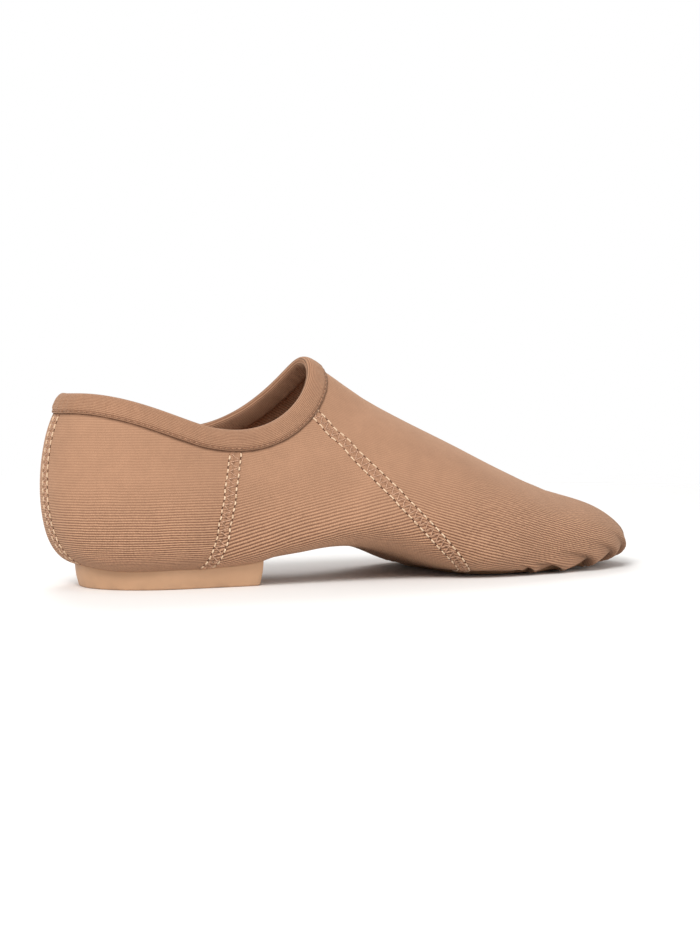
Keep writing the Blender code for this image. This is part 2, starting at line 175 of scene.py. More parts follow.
def squared_oval(angle, square):
    """Place on an oval of half size 1, to the side and forward: (|cos|^n + |sin|^n)^(-1/n) times the sine
    and the cosine."""
    reach = (np.abs(np.cos(angle))**square + np.abs(np.sin(angle))**square)**(-1 / square)
    return np.sin(angle) * reach, np.cos(angle) * reach


def ring_points(row, angle):
    """Points of the rings at row numbers and angles of one shape: a squared oval between the two ends of
    the ring, hung by the sag between them and lifted on the inner side under the arch."""
    at = np.interp(row.ravel(), np.arange(len(RING_KNOTS)), RING_KNOTS)
    (top_y, top_x, top_z, low_y, low_x, low_z, outer, inner, sag, wide, low_square, top_square, arch) = (
        spline(RING_KNOTS, RINGS, at).T.reshape(RINGS.shape[1], *row.shape))
    side, along = squared_oval(angle, low_square + (top_square - low_square) * (1 - np.cos(angle)) / 2)
    share = wide - along * np.where(along > 0, wide, 1 - wide)
    turn = np.minimum(np.abs(angle) / np.pi, 2 - np.abs(angle) / np.pi)
    hang = sag * np.sin(np.pi * turn**SAG_SKEW)**SAG_ROUND
    lift = arch * np.minimum(side, 0.0)**2 * (1 - share)**2
    return np.stack((
        low_x + share * (top_x - low_x) + side * np.where(side > 0, outer, inner),
        low_y + share * (top_y - low_y),
        low_z + share * (top_z - low_z) - hang + lift,
    ), axis=-1)


def ring_grid(rows, angles):
    """Row numbers and angles as two arrays of rows by angles."""
    return np.meshgrid(rows, angles, indexing="ij")


# The frame's origin is under the middle of the box of the rings, taken at this many rows and columns.
BOX_ROWS, BOX_COLUMNS = 277, 72
last_points = ring_points(*ring_grid(np.linspace(0, LAST_ROW, BOX_ROWS), turns(BOX_COLUMNS, -np.pi)))
last_middle = (last_points.min(axis=(0, 1)) + last_points.max(axis=(0, 1))) / 2
ORIGIN = np.array((last_middle[0], last_middle[1], 0.0))


def from_heel(*point):
    """A point in mm outwards, forward of the heel and up, in the frame."""
    return np.array(point) * MM - ORIGIN


def bare_wall(row, angle):
    """Point, tangents down the row and round the ring, and outward unit normal of the bare canvas."""
    after = np.minimum(row + HALF_ROW, LAST_ROW)
    before = np.maximum(row - HALF_ROW, 0.0)
    down = (ring_points(after, angle) - ring_points(before, angle)) / (after - before)[..., None]
    turn = (ring_points(row, angle + HALF_ANGLE) - ring_points(row, angle - HALF_ANGLE)) / (2 * HALF_ANGLE)
    return ring_points(row, angle) - ORIGIN, down, turn, unit(np.cross(down, turn))


def line_distance(points, line):
    """Distance of each point from a line of straight pieces, as the least over the pieces."""
    start, run = line[:-1], np.diff(line, axis=0)

    def from_pieces(part):
        offset = part[:, None] - start
        share = np.clip((offset * run).sum(axis=2) / (run * run).sum(axis=1), 0, 1)
        return np.linalg.norm(offset - share[..., None] * run, axis=2)

    return least(points, from_pieces)


# Outlines of the two sole pieces, in mm: ends and widest place forward of the heel, half widths, and
# squareness behind and ahead of the widest place
HEEL_BACK, HEEL_WIDEST, HEEL_FRONT, HEEL_HALF = 12.5, 43.0, 73.0, 25.0
HEEL_SQUARES = (2.1, 20.0)
PATCH_BACK, PATCH_WIDEST, PATCH_FRONT = 151.0, 184.0, 218.5
PATCH_OFF, PATCH_OUTER, PATCH_INNER, PATCH_HOLLOW = -2.0, 32.5, 32.0, 2.2
PATCH_SQUARES = (4.2, 2.3)
HEEL_CENTRE = from_heel(0.0, HEEL_WIDEST, 0.0)[:2]
PATCH_CENTRE = from_heel(PATCH_OFF, PATCH_WIDEST, 0.0)[:2]
OUTLINE_STEPS = 1441


def plate_outline(angle, back, widest, front, halves, squares):
    """Outline in m about its widest place: half of one squared oval behind it, half of another ahead."""
    side, along = squared_oval(angle, np.where(np.cos(angle) > 0, squares[1], squares[0]))
    ahead = np.where(along > 0, front - widest, widest - back) * along
    return np.stack((np.where(side > 0, halves[0], halves[1]) * side, ahead), axis=-1) * MM


def heel_outline(angle):
    """Heel block seen from above, about its centre: round behind, straight sides, straight front."""
    return plate_outline(angle, HEEL_BACK, HEEL_WIDEST, HEEL_FRONT, (HEEL_HALF, HEEL_HALF), HEEL_SQUARES)


def patch_outline(angle):
    """Patch seen from above, about its centre: round ahead, squared behind, its rear edge hollowed."""
    halves = (PATCH_OUTER, PATCH_INNER)
    outline = plate_outline(angle, PATCH_BACK, PATCH_WIDEST, PATCH_FRONT, halves, PATCH_SQUARES)
    rear = np.clip(-np.cos(angle), 0, 1)
    outline[..., 1] += PATCH_HOLLOW * MM * rear * np.clip(1 - (outline[..., 0] / MM / PATCH_OUTER)**2, 0, 1)
    return outline


def outline_share(points, outline, centre):
    """Distance of points from an outline's centre, as a share of the outline's reach in their direction."""
    edge = outline(np.linspace(-np.pi, np.pi, OUTLINE_STEPS))
    direction = np.unwrap(np.arctan2(edge[:, 0], edge[:, 1]))
    reach = np.linalg.norm(edge, axis=1)
    offset = points[..., :2] - centre
    bearing = np.arctan2(offset[..., 0], offset[..., 1])
    return np.linalg.norm(offset, axis=-1) / np.interp(bearing, direction, reach, period=2 * np.pi)


# Seams: each is the cut of a slanted plane through three points of the shoe, in mm out, forward and up
SIDE_CUT = ((27.0, 61.0, 55.0), (31.0, 56.0, 30.0), (26.0, 49.0, 8.0))
FRONT_CUT = ((25.0, 86.0, 67.0), (38.0, 121.0, 29.0), (22.0, 153.0, 2.5))
SEAM_HALF_GAP = 2.1
SIDES = (1, -1)
# Rows and columns in which a seam is looked for, and the angle left out at the top and bottom line.
SEEK_ROWS, SEEK_COLUMNS, SEEK_CLEAR = 1200, 360, 0.02
# Steps of a seam's line in mm, and how many of them lie between the points of its curve.
LINE_STEP, LINE_SPAN = 1.5, 4
BACK_SEAM_END, BACK_SEAM_STEPS = 6.9, 140


def cut_plane(points, side):
    """A point and the forward unit normal of the plane through three points, mirrored to the inner side by
    side -1."""
    first, second, third = (from_heel(side * x, y, z) for x, y, z in points)
    return first, unit(np.cross(second - first, third - first) * side)


def plane_height(points, plane):
    """Signed distance ahead of a plane."""
    return (points - plane[0]) @ plane[1]


def even_line(row, angle):
    """A line on the canvas in even steps, as a cubic curve through some of them."""
    walked = way_along(ring_points(row, angle))
    spans = int(walked[-1] / (LINE_STEP * MM)) // LINE_SPAN
    coarse = np.linspace(0, walked[-1], spans + 1)
    both = columns_at(coarse, walked, np.column_stack((row, angle)))
    fine = spline(coarse, both, np.linspace(0, walked[-1], spans * LINE_SPAN + 1))
    return np.clip(fine[:, 0], 0, LAST_ROW), fine[:, 1]


def seam_line(plane, side):
    """Row numbers and angles, from the collar down, where the canvas crosses a plane on one side: the
    change of sign down each column."""
    rows = np.linspace(0, LAST_ROW, SEEK_ROWS)
    angles = np.linspace(np.pi - SEEK_CLEAR, SEEK_CLEAR, SEEK_COLUMNS) * side
    height = plane_height(ring_points(*ring_grid(rows, angles)) - ORIGIN, plane)
    change = (height[:-1] < 0) & (height[1:] >= 0)
    crossed = np.flatnonzero(change.any(axis=0))
    place = change.argmax(axis=0)[crossed]
    before, after = height[place, crossed], height[place + 1, crossed]
    row = rows[place] + (rows[place + 1] - rows[place]) * before / (before - after)
    return even_line(row, angles[crossed])


SIDE_PLANES, FRONT_PLANES = ([cut_plane(cut, side) for side in SIDES] for cut in (SIDE_CUT, FRONT_CUT))
SIDE_LINES = [seam_line(plane, side) for plane, side in zip(SIDE_PLANES, SIDES)]
FRONT_LINES = [seam_line(plane, side) for plane, side in zip(FRONT_PLANES, SIDES)]
BACK_LINE = (np.linspace(0, BACK_SEAM_END, BACK_SEAM_STEPS), np.zeros(BACK_SEAM_STEPS))


def seam_distance(points, line):
    """Distance of each point from a seam on the bare canvas."""
    return line_distance(points, ring_points(*line) - ORIGIN)


def seam_fields(points):
    """Signed distances in mm from the side, front and back seams: positive ahead, and on the outer side of
    the back."""
    outer = points[..., 0] + ORIGIN[0] > 0
    fields = []
    for planes, lines in ((SIDE_PLANES, SIDE_LINES), (FRONT_PLANES, FRONT_LINES)):
        ahead = np.where(outer, *(plane_height(points, plane) for plane in planes))
        away = np.minimum(*(seam_distance(points, line) for line in lines))
        fields.append(np.sign(ahead) * away / MM)
    back = seam_distance(points, BACK_LINE)
    fields.append(np.where(outer, back, -back) / MM)
    return np.stack(fields, axis=-1)


# Relief of the canvas
# Knife folds gathered into the front of the patch: the creases between them as angles from the toe line
# (positive outwards) on one row, and the height in mm of the fold between each crease and the next.
PLEAT_CREASES = np.array((
    114.0, 98.0, 81.0, 64.0, 49.0, 35.0, 19.0, 3.0, -14.0, -31.0, -49.0, -68.0, -87.0, -105.0,
))
PLEAT_HEIGHTS = np.array((1.6, 2.9, 3.5, 3.2, 2.8, 3.2, 2.7, 3.1, 2.8, 3.2, 2.9, 3.1, 1.6))
PLEAT_ROW = 20.0
# Degrees a row by which creases sweep, the crease that doesn't, and how far from it they sweep in full.
PLEAT_SWEEP, PLEAT_STRAIGHT, PLEAT_FULL = 5.0, -45.0, 45.0
# Place of the crest between two creases, how the way up to it bulges, and the mean height taken off.
PLEAT_CREST, PLEAT_BULGE, PLEAT_BASE = 0.84, 0.85, 1.3
# Angles, rows and shares of the patch's reach between which the folds rise or are pressed flat.
PLEAT_REACH = (122.0, 104.0)
PLEAT_RISE = (17.0, 20.3)
PLEAT_PRESSED = (0.93, 1.04)
CANVAS_LOW = 0.9

# Soft troughs (negative) and ridges: two ends in mm out, forward and up, then height and half width in mm.
CREASES = (
    ((29.0, 74.0, 13.0), (18.0, 82.0, 9.0), -1.0, 6.0),
    ((-28.0, 74.0, 14.0), (-18.0, 82.0, 10.0), -1.0, 6.0),
    ((31.0, 70.0, 20.0), (33.0, 92.0, 30.0), 0.5, 7.0),
    ((36.0, 96.0, 24.0), (30.0, 112.0, 52.0), -0.45, 5.0),
    ((38.0, 128.0, 20.0), (20.0, 143.0, 46.0), -0.5, 5.0),
    ((40.0, 140.0, 18.0), (18.0, 152.0, 43.0), 0.45, 5.0),
    ((-41.0, 150.0, 17.0), (-12.0, 160.0, 46.0), -0.5, 5.0),
    ((-38.0, 134.0, 22.0), (-18.0, 146.0, 48.0), 0.4, 5.0),
    ((30.0, 186.0, 27.0), (-32.0, 193.0, 29.0), -0.45, 5.5),
    ((22.0, 199.0, 27.0), (-30.0, 206.0, 26.0), -0.35, 4.5),
    ((24.0, 20.0, 44.0), (29.0, 46.0, 40.0), -0.4, 5.0),
    ((-24.0, 20.0, 44.0), (-29.0, 46.0, 40.0), -0.4, 5.0),
    ((12.0, 6.0, 58.0), (26.0, 30.0, 52.0), 0.35, 4.0),
)
CREASE_FADE = 0.55
# Relief beside a seam in mm: height, distance from the seam and half width of the turned-in edges, the groove
# and the stitch rows, then height, pitch, distance and half width of the puckers.
SEAM_BELLS = ((0.30, 1.0, 0.9), (-0.30, 0.0, 0.5), (-0.14, SEAM_HALF_GAP, 0.6))
PUCKER_HIGH, PUCKER_PITCH, PUCKER_OUT, PUCKER_HALF = 0.07, 5.1, 3.4, 1.6


def pleat_folds(row, angle):
    """Height in mm of the gathered folds above their creases, the angle to the nearest crease, and the
    share of them that stands. Each fold rises evenly from one crease to its crest and drops steeply to the
    next; the creases sweep outwards towards the front of the toe. Folds grow from the toe's edge and are
    pressed flat under the patch."""
    from_toe = np.degrees(np.where(angle > 0, np.pi - angle, -np.pi - angle))
    lean = np.clip((PLEAT_CREASES - PLEAT_STRAIGHT) / PLEAT_FULL, -1, 1)
    creases = [at + PLEAT_SWEEP * way * (PLEAT_ROW - row) for at, way in zip(PLEAT_CREASES, lean)]
    height = np.zeros(row.shape)
    for outer, inner, way, high in zip(creases, creases[1:], lean, PLEAT_HEIGHTS):
        share = np.clip((from_toe - inner) / (outer - inner), 0, 1)
        share = share if way >= 0 else 1 - share
        rise = (share / PLEAT_CREST)**PLEAT_BULGE
        height += high * np.where(share < PLEAT_CREST, rise, smooth(1.0, PLEAT_CREST, share))
    beside = np.min([np.abs(from_toe - crease) for crease in creases], axis=0)
    off_patch = outline_share(ring_points(row, angle) - ORIGIN, patch_outline, PATCH_CENTRE)
    stands = smooth(*PLEAT_REACH, np.abs(from_toe)) * smooth(*PLEAT_RISE, row)
    return height, beside, stands * smooth(*PLEAT_PRESSED, off_patch)


def pleat_relief(row, angle):
    """Height of the gathered folds above the bare last."""
    height, beside, stands = pleat_folds(row, angle)
    return MM * stands * (height - PLEAT_BASE)


def fold_relief(row, angle, points):
    """Gathered folds, and the sum of bell-shaped troughs and ridges about short lines that fade out."""
    total = np.zeros(points.shape[:-1])
    for start, end, height, half in CREASES:
        start, end = from_heel(*start), from_heel(*end)
        run = end - start
        share = ((points - start) @ run) / (run @ run)
        away = np.linalg.norm(points - start - np.clip(share, 0, 1)[..., None] * run, axis=-1)
        total += height * MM * bell(away, half * MM) * np.exp(-((share - 0.5) / CREASE_FADE)**4)
    return pleat_relief(row, angle) + total


def seam_relief(fields, along):
    """Turned-in edges stand up beside a seam, the seam itself and its stitch rows lie low, and the cloth
    puckers in waves along it."""
    total = np.zeros(fields.shape[:-1])
    waves = PUCKER_HIGH * np.sin(2 * np.pi * along / PUCKER_PITCH)
    for away in np.moveaxis(np.abs(fields), -1, 0):
        total += sum(high * bell(away - out, half) for high, out, half in SEAM_BELLS)
        total += waves * bell(away - PUCKER_OUT, PUCKER_HALF)
    return total * MM


def relief(row, angle, points, fields):
    """Height of the canvas above the bare last."""
    along = points[..., 1] / MM + points[..., 2] / MM
    return fold_relief(row, angle, points) + seam_relief(fields, along)


def raised(points, normal, lift):
    """Points moved out along their normals, but no lower than the canvas can hang above the floor."""
    moved = points + normal * lift[..., None]
    moved[..., 2] = np.maximum(moved[..., 2], CANVAS_LOW * MM)
    return moved


def canvas_wall(row, angle):
    """Point, tangents and normal of the canvas with its relief, for pieces that lie on it."""
    points, down, turn, normal = bare_wall(row, angle)
    return raised(points, normal, relief(row, angle, points, seam_fields(points))), down, turn, normal


# Meshes
NO_TRIANGLES = np.zeros((0, 3), int)


def grid_quads(rows, columns, closed_rows=False):
    """Corners of the quads of a grid of points, closed along its rows, and if asked down its columns."""
    row = np.arange(rows if closed_rows else rows - 1)[:, None]
    column = np.arange(columns)[None, :]
    below, after = (row + 1) % rows * columns, (column + 1) % columns
    corners = (row * columns + column, row * columns + after, below + after, below + column)
    return np.stack(np.broadcast_arrays(*corners), axis=-1).reshape(-1, 4)


def fan(pole, loop):
    """Triangles between a loop of points and one point."""
    return np.stack(np.broadcast_arrays(pole, np.roll(loop, -1), loop), axis=-1)


def make_piece(name, points, quads, triangles, materials, slots=None):
    """One object at the origin from arrays of points, quads and triangles."""
    mesh = bpy.data.meshes.new(name)
    corners = np.concatenate((quads.ravel(), triangles.ravel())).astype(np.int32)
    sizes = np.concatenate((np.full(len(quads), 4), np.full(len(triangles), 3)))
    mesh.vertices.add(points.size // 3)
    mesh.vertices.foreach_set("co", points.astype(np.float32).ravel())
    mesh.loops.add(len(corners))
    mesh.loops.foreach_set("vertex_index", corners)
    mesh.polygons.add(len(sizes))
    mesh.polygons.foreach_set("loop_start", (np.cumsum(sizes) - sizes).astype(np.int32))
    mesh.polygons.foreach_set("use_smooth", np.ones(len(sizes), bool))
    for material in materials:
        mesh.materials.append(material)
    if slots is not None:
        mesh.polygons.foreach_set("material_index", slots.astype(np.int32))
    mesh.update(calc_edges=True)
    piece = bpy.data.objects.new(name, mesh)
    bpy.context.scene.collection.objects.link(piece)
    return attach(piece, BODY)


def closed_shapes(name, loops, poles, material):
    """One piece of many like shapes: each is a number of loops, closed by a point at either end."""
    count, rows, columns = loops.shape[:3]
    size = rows * columns + 2
    points = np.concatenate((loops.reshape(count, -1, 3), poles), axis=1)
    first = np.arange(columns)
    last = first + (rows - 1) * columns
    caps = np.concatenate((fan(size - 2, first), fan(size - 1, last)[:, ::-1]))
    start = np.arange(count)[:, None, None] * size
    quads = (start + grid_quads(rows, columns)).reshape(-1, 4)
    return make_piece(name, points, quads, (start + caps).reshape(-1, 3), (material,))


def add_field(piece, name, values):
    """A number or a vector kept with each point of a piece."""
    single = values.size == len(piece.data.vertices)
    field = piece.data.attributes.new(name, "FLOAT" if single else "FLOAT_VECTOR", "POINT")
    field.data.foreach_set("value" if single else "vector", values.astype(np.float32).ravel())


# Finishes
def linear(red, green, blue):
    """Colour given in sRGB values up to 255, as a linear colour."""
    share = np.array((red, green, blue)) / 255
    return (*np.where(share < 0.04045, share / 12.92, ((share + 0.055) / 1.055)**2.4), 1.0)


# Colours: the hollows and crowns of each cloth and thread, then what lies over them
# The darker hollow tone of each ribbed cloth is painted shade in the rib hollows, mixed with uneven yarn.
CANVAS_TONES = (linear(102, 65, 46), linear(198, 153, 121))
CANVAS_SHEEN, CANVAS_SOIL = linear(236, 200, 170), linear(110, 84, 66)
SEAM_SHADE, ROW_SHADE, FOLD_SHADE = linear(92, 58, 40), linear(112, 74, 52), linear(70, 42, 28)
LINING_TONES, LINING_SHEEN = (linear(156, 113, 85), linear(192, 151, 121)), linear(236, 208, 182)
BAND_TONES, BAND_SHEEN = (linear(134, 93, 68), linear(176, 134, 105)), linear(240, 206, 176)
BAND_SEAM_SHADE, BAND_EDGE_SHADE = linear(96, 60, 40), linear(84, 51, 33)
RUBBER_WALL, RUBBER_LAND, RUBBER_DIMPLE = linear(192, 152, 119), linear(152, 111, 86), linear(108, 72, 51)
RUBBER_SOIL = linear(122, 98, 80)
SUEDE_TONES, SUEDE_SHEEN = (linear(94, 64, 43), linear(140, 103, 75)), linear(206, 166, 132)
SUEDE_EDGE, SUEDE_HOLE_SHADE = linear(172, 134, 104), linear(48, 30, 20)
SOCK_TONES, SOCK_SHEEN = (linear(172, 128, 99), linear(206, 166, 136)), linear(240, 214, 188)
SOCK_WORN = linear(136, 98, 74)
NEEDLE_HOLE_SHADE = linear(82, 50, 34)
PALE_THREAD = (linear(196, 158, 124), linear(238, 211, 180))
PATCH_THREAD = (linear(164, 133, 102), linear(212, 186, 153))
BAND_THREAD = (linear(140, 96, 68), linear(186, 140, 108))
CROSS_THREAD = (linear(166, 121, 94), linear(216, 176, 146))
FLOOR_PAINT = linear(243, 242, 240)
WHITE = (1.0, 1.0, 1.0, 1.0)
# Ribs of the canvas and yarns along them, in mm.
RIB_PITCH, YARN_PITCH = 0.92, 0.85
# Tone about which the ribs of the canvas grow fainter.
MIDDLE_TONE = 0.55


class Net:
    """Adds nodes to a tree and joins them: an input is a number, a colour or another node's output."""

    def __init__(self, tree):
        self.tree = tree

    def add(self, kind, inputs=None, **settings):
        """One node with its settings and its inputs."""
        node = self.tree.nodes.new(kind)
        for name, value in settings.items():
            setattr(node, name, value)
        for key, value in (inputs or {}).items():
            if isinstance(value, bpy.types.NodeSocket):
                self.tree.links.new(value, node.inputs[key])
            else:
                node.inputs[key].default_value = value
        return node

    def math(self, operation, *values):
        return self.add("ShaderNodeMath", dict(enumerate(values)), operation=operation).outputs[0]

    def times(self, first, second):
        return self.math("MULTIPLY", first, second)

    def over(self, value, scale, base):
        """Value times a scale, on top of a base."""
        return self.math("MULTIPLY_ADD", value, scale, base)

    def wave(self, turned):
        """From 0 to 1 and back once a turn."""
        return self.over(self.math("SINE", self.times(turned, 2 * np.pi)), 0.5, 0.5)

    def between(self, value, low, high, to_low=0.0, to_high=1.0):
        """Even S from one value to another, between two limits."""
        inputs = {"Value": value, "From Min": low, "From Max": high, "To Min": to_low, "To Max": to_high}
        return self.add("ShaderNodeMapRange", inputs, interpolation_type="SMOOTHSTEP").outputs[0]

    def falls(self, value, low, high):
        """Even S from 1 at one limit down to 0 at the other."""
        return self.between(value, low, high, 1.0, 0.0)

    def near(self, value, middle, low, high):
        """1 about a middle value, falling to 0 between two distances from it."""
        return self.falls(self.math("ABSOLUTE", self.math("SUBTRACT", value, middle)), low, high)

    def mix(self, share, first, second, blend="MIX"):
        """Colour mix."""
        inputs = {0: share, 6: first, 7: second}
        return self.add("ShaderNodeMix", inputs, data_type="RGBA", blend_type=blend).outputs[2]

    def blend(self, share, first, second):
        """Number mix."""
        return self.add("ShaderNodeMix", {0: share, 2: first, 3: second}, data_type="FLOAT").outputs[0]

    def noise(self, place, scale, detail=2.0, roughness=0.5):
        inputs = {"Vector": place, "Scale": scale, "Detail": detail, "Roughness": roughness}
        return self.add("ShaderNodeTexNoise", inputs).outputs[0]

    def object_place(self):
        return self.add("ShaderNodeTexCoord").outputs["Object"]

    def number(self, name):
        """A piece's own field of numbers."""
        return self.add("ShaderNodeAttribute", attribute_name=name).outputs["Fac"]

    def parts(self, name):
        """The three parts of a piece's own field of vectors."""
        vector = self.add("ShaderNodeAttribute", attribute_name=name).outputs["Vector"]
        return self.add("ShaderNodeSeparateXYZ", {0: vector}).outputs

    def group(self, tree, **inputs):
        """Outputs of a node group."""
        return self.add("ShaderNodeGroup", inputs, node_tree=tree).outputs

    def shaded(self, colour, shade):
        """Colour times a number."""
        grey = self.add("ShaderNodeCombineColor", {0: shade, 1: shade, 2: shade}).outputs[0]
        return self.mix(1.0, colour, grey, "MULTIPLY")

    def mottled(self, colour, size, amount):
        """Colour with slow uneven shade."""
        return self.shaded(colour, self.group(MOTTLE, Size=size, Amount=amount)["Shade"])

    def soiled(self, colour, reach, amount, soil):
        """Colour with soil near the floor."""
        return self.mix(self.group(FLOOR_SOIL, Reach=reach, Amount=amount)["Soil"], colour, soil)

    def laid(self, colour, mask, amount, other):
        """Colour with some of another over it, by a mask."""
        return self.mix(self.times(mask, amount), colour, other)


def new_group(name, inputs, outputs):
    """Net of a node group with named number sockets, its inputs, and a function that sets an output."""
    tree = bpy.data.node_groups.new(name, "ShaderNodeTree")
    for label, value in inputs.items():
        socket = tree.interface.new_socket(name=label, in_out="INPUT", socket_type="NodeSocketFloat")
        socket.default_value = value
    for label in outputs:
        tree.interface.new_socket(name=label, in_out="OUTPUT", socket_type="NodeSocketFloat")
    net = Net(tree)
    given, out = net.add("NodeGroupInput").outputs, net.add("NodeGroupOutput").inputs
    return net, given, lambda label, value: tree.links.new(value, out[label])


def ribbed_cloth_group():
    """Ribs across and yarns along them, both in mm: rounded ribs whose place wavers, each crossed by yarns
    that are half a step out from one rib to the next, with uneven yarn. The tone follows the height, as
    painted shade in the hollows, with the uneven yarn over it."""
    inputs = {"Across": 0.0, "Along": 0.0, "Pitch": 1.0, "Yarn": 0.8}
    net, given, give = new_group("ribbed_cloth", inputs, ("Height", "Tone"))
    place = net.object_place()
    waver = net.math("SUBTRACT", net.noise(place, 90.0), 0.5)
    across = net.math("DIVIDE", net.over(waver, 0.55, given["Across"]), given["Pitch"])
    odd = net.times(net.math("FLOOR", net.math("ADD", across, 0.25)), 0.5)
    along = net.math("ADD", net.math("DIVIDE", given["Along"], given["Yarn"]), odd)
    round_rib = net.math("POWER", net.wave(across), 0.75)
    height = net.times(round_rib, net.over(net.wave(along), 0.22, 0.78))
    slub = net.math("SUBTRACT", net.noise(place, 1500.0), 0.5)
    give("Height", height)
    give("Tone", net.add("ShaderNodeClamp", {0: net.over(slub, 0.6, height)}).outputs[0])
    return net.tree


def mottle_group():
    """Slow uneven shade about 1 from two sizes of noise, for cloth and hide that has been handled."""
    net, given, give = new_group("mottle", {"Size": 40.0, "Amount": 0.1}, ("Shade",))
    place = net.object_place()
    broad = net.noise(place, given["Size"], detail=3.0)
    fine = net.noise(place, net.times(given["Size"], 6.0))
    both = net.math("SUBTRACT", net.over(fine, 0.4, net.times(broad, 0.6)), 0.5)
    give("Shade", net.over(both, net.times(given["Amount"], 4.0), 1.0))
    return net.tree


def floor_soil_group():
    """Share of grey soil low on the shoe: fades with height above the floor, broken up by noise."""
    net, given, give = new_group("floor_soil", {"Reach": 0.006, "Amount": 0.4}, ("Soil",))
    place = net.object_place()
    height = net.add("ShaderNodeSeparateXYZ", {0: place}).outputs[2]
    low = net.math("SUBTRACT", 1.0, net.math("MINIMUM", net.math("DIVIDE", height, given["Reach"]), 1.0))
    patchy = net.between(net.noise(place, 160.0, detail=4.0, roughness=0.6), 0.35, 0.7)
    give("Soil", net.times(net.times(low, patchy), given["Amount"]))
    return net.tree


RIBBED_CLOTH = ribbed_cloth_group()
MOTTLE = mottle_group()
FLOOR_SOIL = floor_soil_group()


class Finish(Net):
    """Net of a material, with the values that are the same all over set on its shader."""

    def __init__(self, name, roughness, sheen=0.0, sheen_tint=WHITE):
        self.material = bpy.data.materials.new(name)
        self.material.use_nodes = True
        super().__init__(self.material.node_tree)
        self.shader = self.tree.nodes["Principled BSDF"]
        constants = {"Roughness": roughness, "Specular IOR Level": 0.3, "Sheen Weight": sheen,
                     "Sheen Roughness": 0.5, "Sheen Tint": sheen_tint}
        for label, value in constants.items():
            self.shader.inputs[label].default_value = value

    def varied(self, name, value):
        """Joins a value that varies over the surface to the shader."""
        self.tree.links.new(value, self.shader.inputs[name])

    def done(self, colour, height, depth):
        """The material with its colour and its bump height, with the bump's depth in mm."""
        bump = self.add("ShaderNodeBump", {"Height": height, "Distance": depth * MM, "Strength": 1.0})
        self.varied("Base Color", colour)
        self.varied("Normal", bump.outputs[0])
        return self.material


def canvas_finish():
    """Ribbed stretch canvas in three panels: ribs round the heel, slanting under the arch, lengthwise over
    the toes. Seams, stitch rows, folds and the edge of the band shade it."""
    net = Finish("ribbed_canvas", 0.88, 0.25, CANVAS_SHEEN)
    seams = net.parts("seams")
    ahead_of_side, ahead_of_front = (net.math("GREATER_THAN", seam, 0.0) for seam in (seams[0], seams[1]))
    rib, yarn = (net.blend(ahead_of_front, net.blend(ahead_of_side, panel[0], panel[1]), panel[2])
                 for panel in (net.parts("ribs_across"), net.parts("ribs_along")))
    cloth = net.group(RIBBED_CLOTH, Across=rib, Along=yarn, Pitch=RIB_PITCH, Yarn=YARN_PITCH)
    side, front, back = (net.math("ABSOLUTE", seam) for seam in seams)
    away = net.math("MINIMUM", net.math("MINIMUM", side, front), back)
    groove = net.falls(away, 0.15, 0.75)
    strength = net.number("stretched")
    # Rib tone: painted shade in the rib hollows with uneven yarn, fainter high up where the canvas is
    # stretched.
    tone = net.over(net.math("SUBTRACT", cloth["Tone"], MIDDLE_TONE), strength, MIDDLE_TONE)
    colour = net.mottled(net.mix(tone, *CANVAS_TONES), 45.0, 0.10)
    colour = net.laid(colour, groove, 0.15, SEAM_SHADE)
    colour = net.laid(colour, net.near(away, SEAM_HALF_GAP, 0.1, 0.6), 0.2, ROW_SHADE)
    colour = net.laid(colour, net.number("valley"), 0.8, FOLD_SHADE)
    colour = net.mix(net.between(net.parts("columns")[1], 7.2, 8.2, 0.6, 0.0), colour, BAND_EDGE_SHADE)
    colour = net.soiled(colour, 0.012, 0.25, CANVAS_SOIL)
    height = net.math("SUBTRACT", net.times(cloth["Height"], strength), net.times(groove, 0.7))
    return net.done(colour, height, 0.22)


def lining_finish():
    """Plain cotton face of the canvas inside the shoe, a little paler and flatter than outside."""
    net = Finish("canvas_inside", 0.92, 0.2, LINING_SHEEN)
    columns = net.parts("columns")
    cloth = net.group(RIBBED_CLOTH, Across=columns[0], Along=columns[1], Pitch=0.8, Yarn=0.7)
    # Rib tone: painted shade in the rib hollows with uneven yarn.
    colour = net.mottled(net.mix(cloth["Tone"], *LINING_TONES), 30.0, 0.12)
    return net.done(colour, cloth["Height"], 0.10)


def binding_finish():
    """Smooth knitted band: fine yarn sunk into it along the collar, a shaded line that stands up a little
    where it is sewn, and a shaded lower edge."""
    net = Finish("knit_binding", 0.8, 0.3, BAND_SHEEN)
    around, down = net.parts("band")[:2]
    cloth = net.group(RIBBED_CLOTH, Across=down, Along=around, Pitch=0.55, Yarn=0.6)
    # Rib tone: painted shade in the rib hollows with uneven yarn.
    colour = net.mottled(net.mix(cloth["Tone"], *BAND_TONES), 60.0, 0.09)
    seam = net.near(down, BAND_STITCH, 0.15, 0.7)
    colour = net.laid(colour, seam, 0.5, BAND_SEAM_SHADE)
    rim = net.times(net.between(down, 6.7, 7.1), net.falls(down, 9.0, 9.5))
    colour = net.laid(colour, rim, 0.75, BAND_EDGE_SHADE)
    height = net.math("SUBTRACT", net.times(seam, 1.2), cloth["Height"])
    return net.done(colour, height, 0.12)


def rubber_finish():
    """Moulded rubber: satin wall, darker dimpled tread whose dimples are darker still, by uneven amounts."""
    net = Finish("moulded_rubber", 0.55)
    place = net.object_place()
    grain = net.noise(place, 2200.0, detail=3.0, roughness=0.6)
    wall, land = net.mottled(RUBBER_WALL, 50.0, 0.06), net.mottled(RUBBER_LAND, 70.0, 0.12)
    dimple_darkening = net.between(net.noise(place, 420.0), 0.32, 0.62, 0.45, 1.0)
    floor_face = net.mix(net.times(net.number("dimple"), dimple_darkening), land, RUBBER_DIMPLE)
    colour = net.soiled(net.mix(net.number("tread"), wall, floor_face), 0.003, 0.3, RUBBER_SOIL)
    net.varied("Roughness", net.over(grain, 0.25, 0.45))
    return net.done(colour, grain, 0.06)


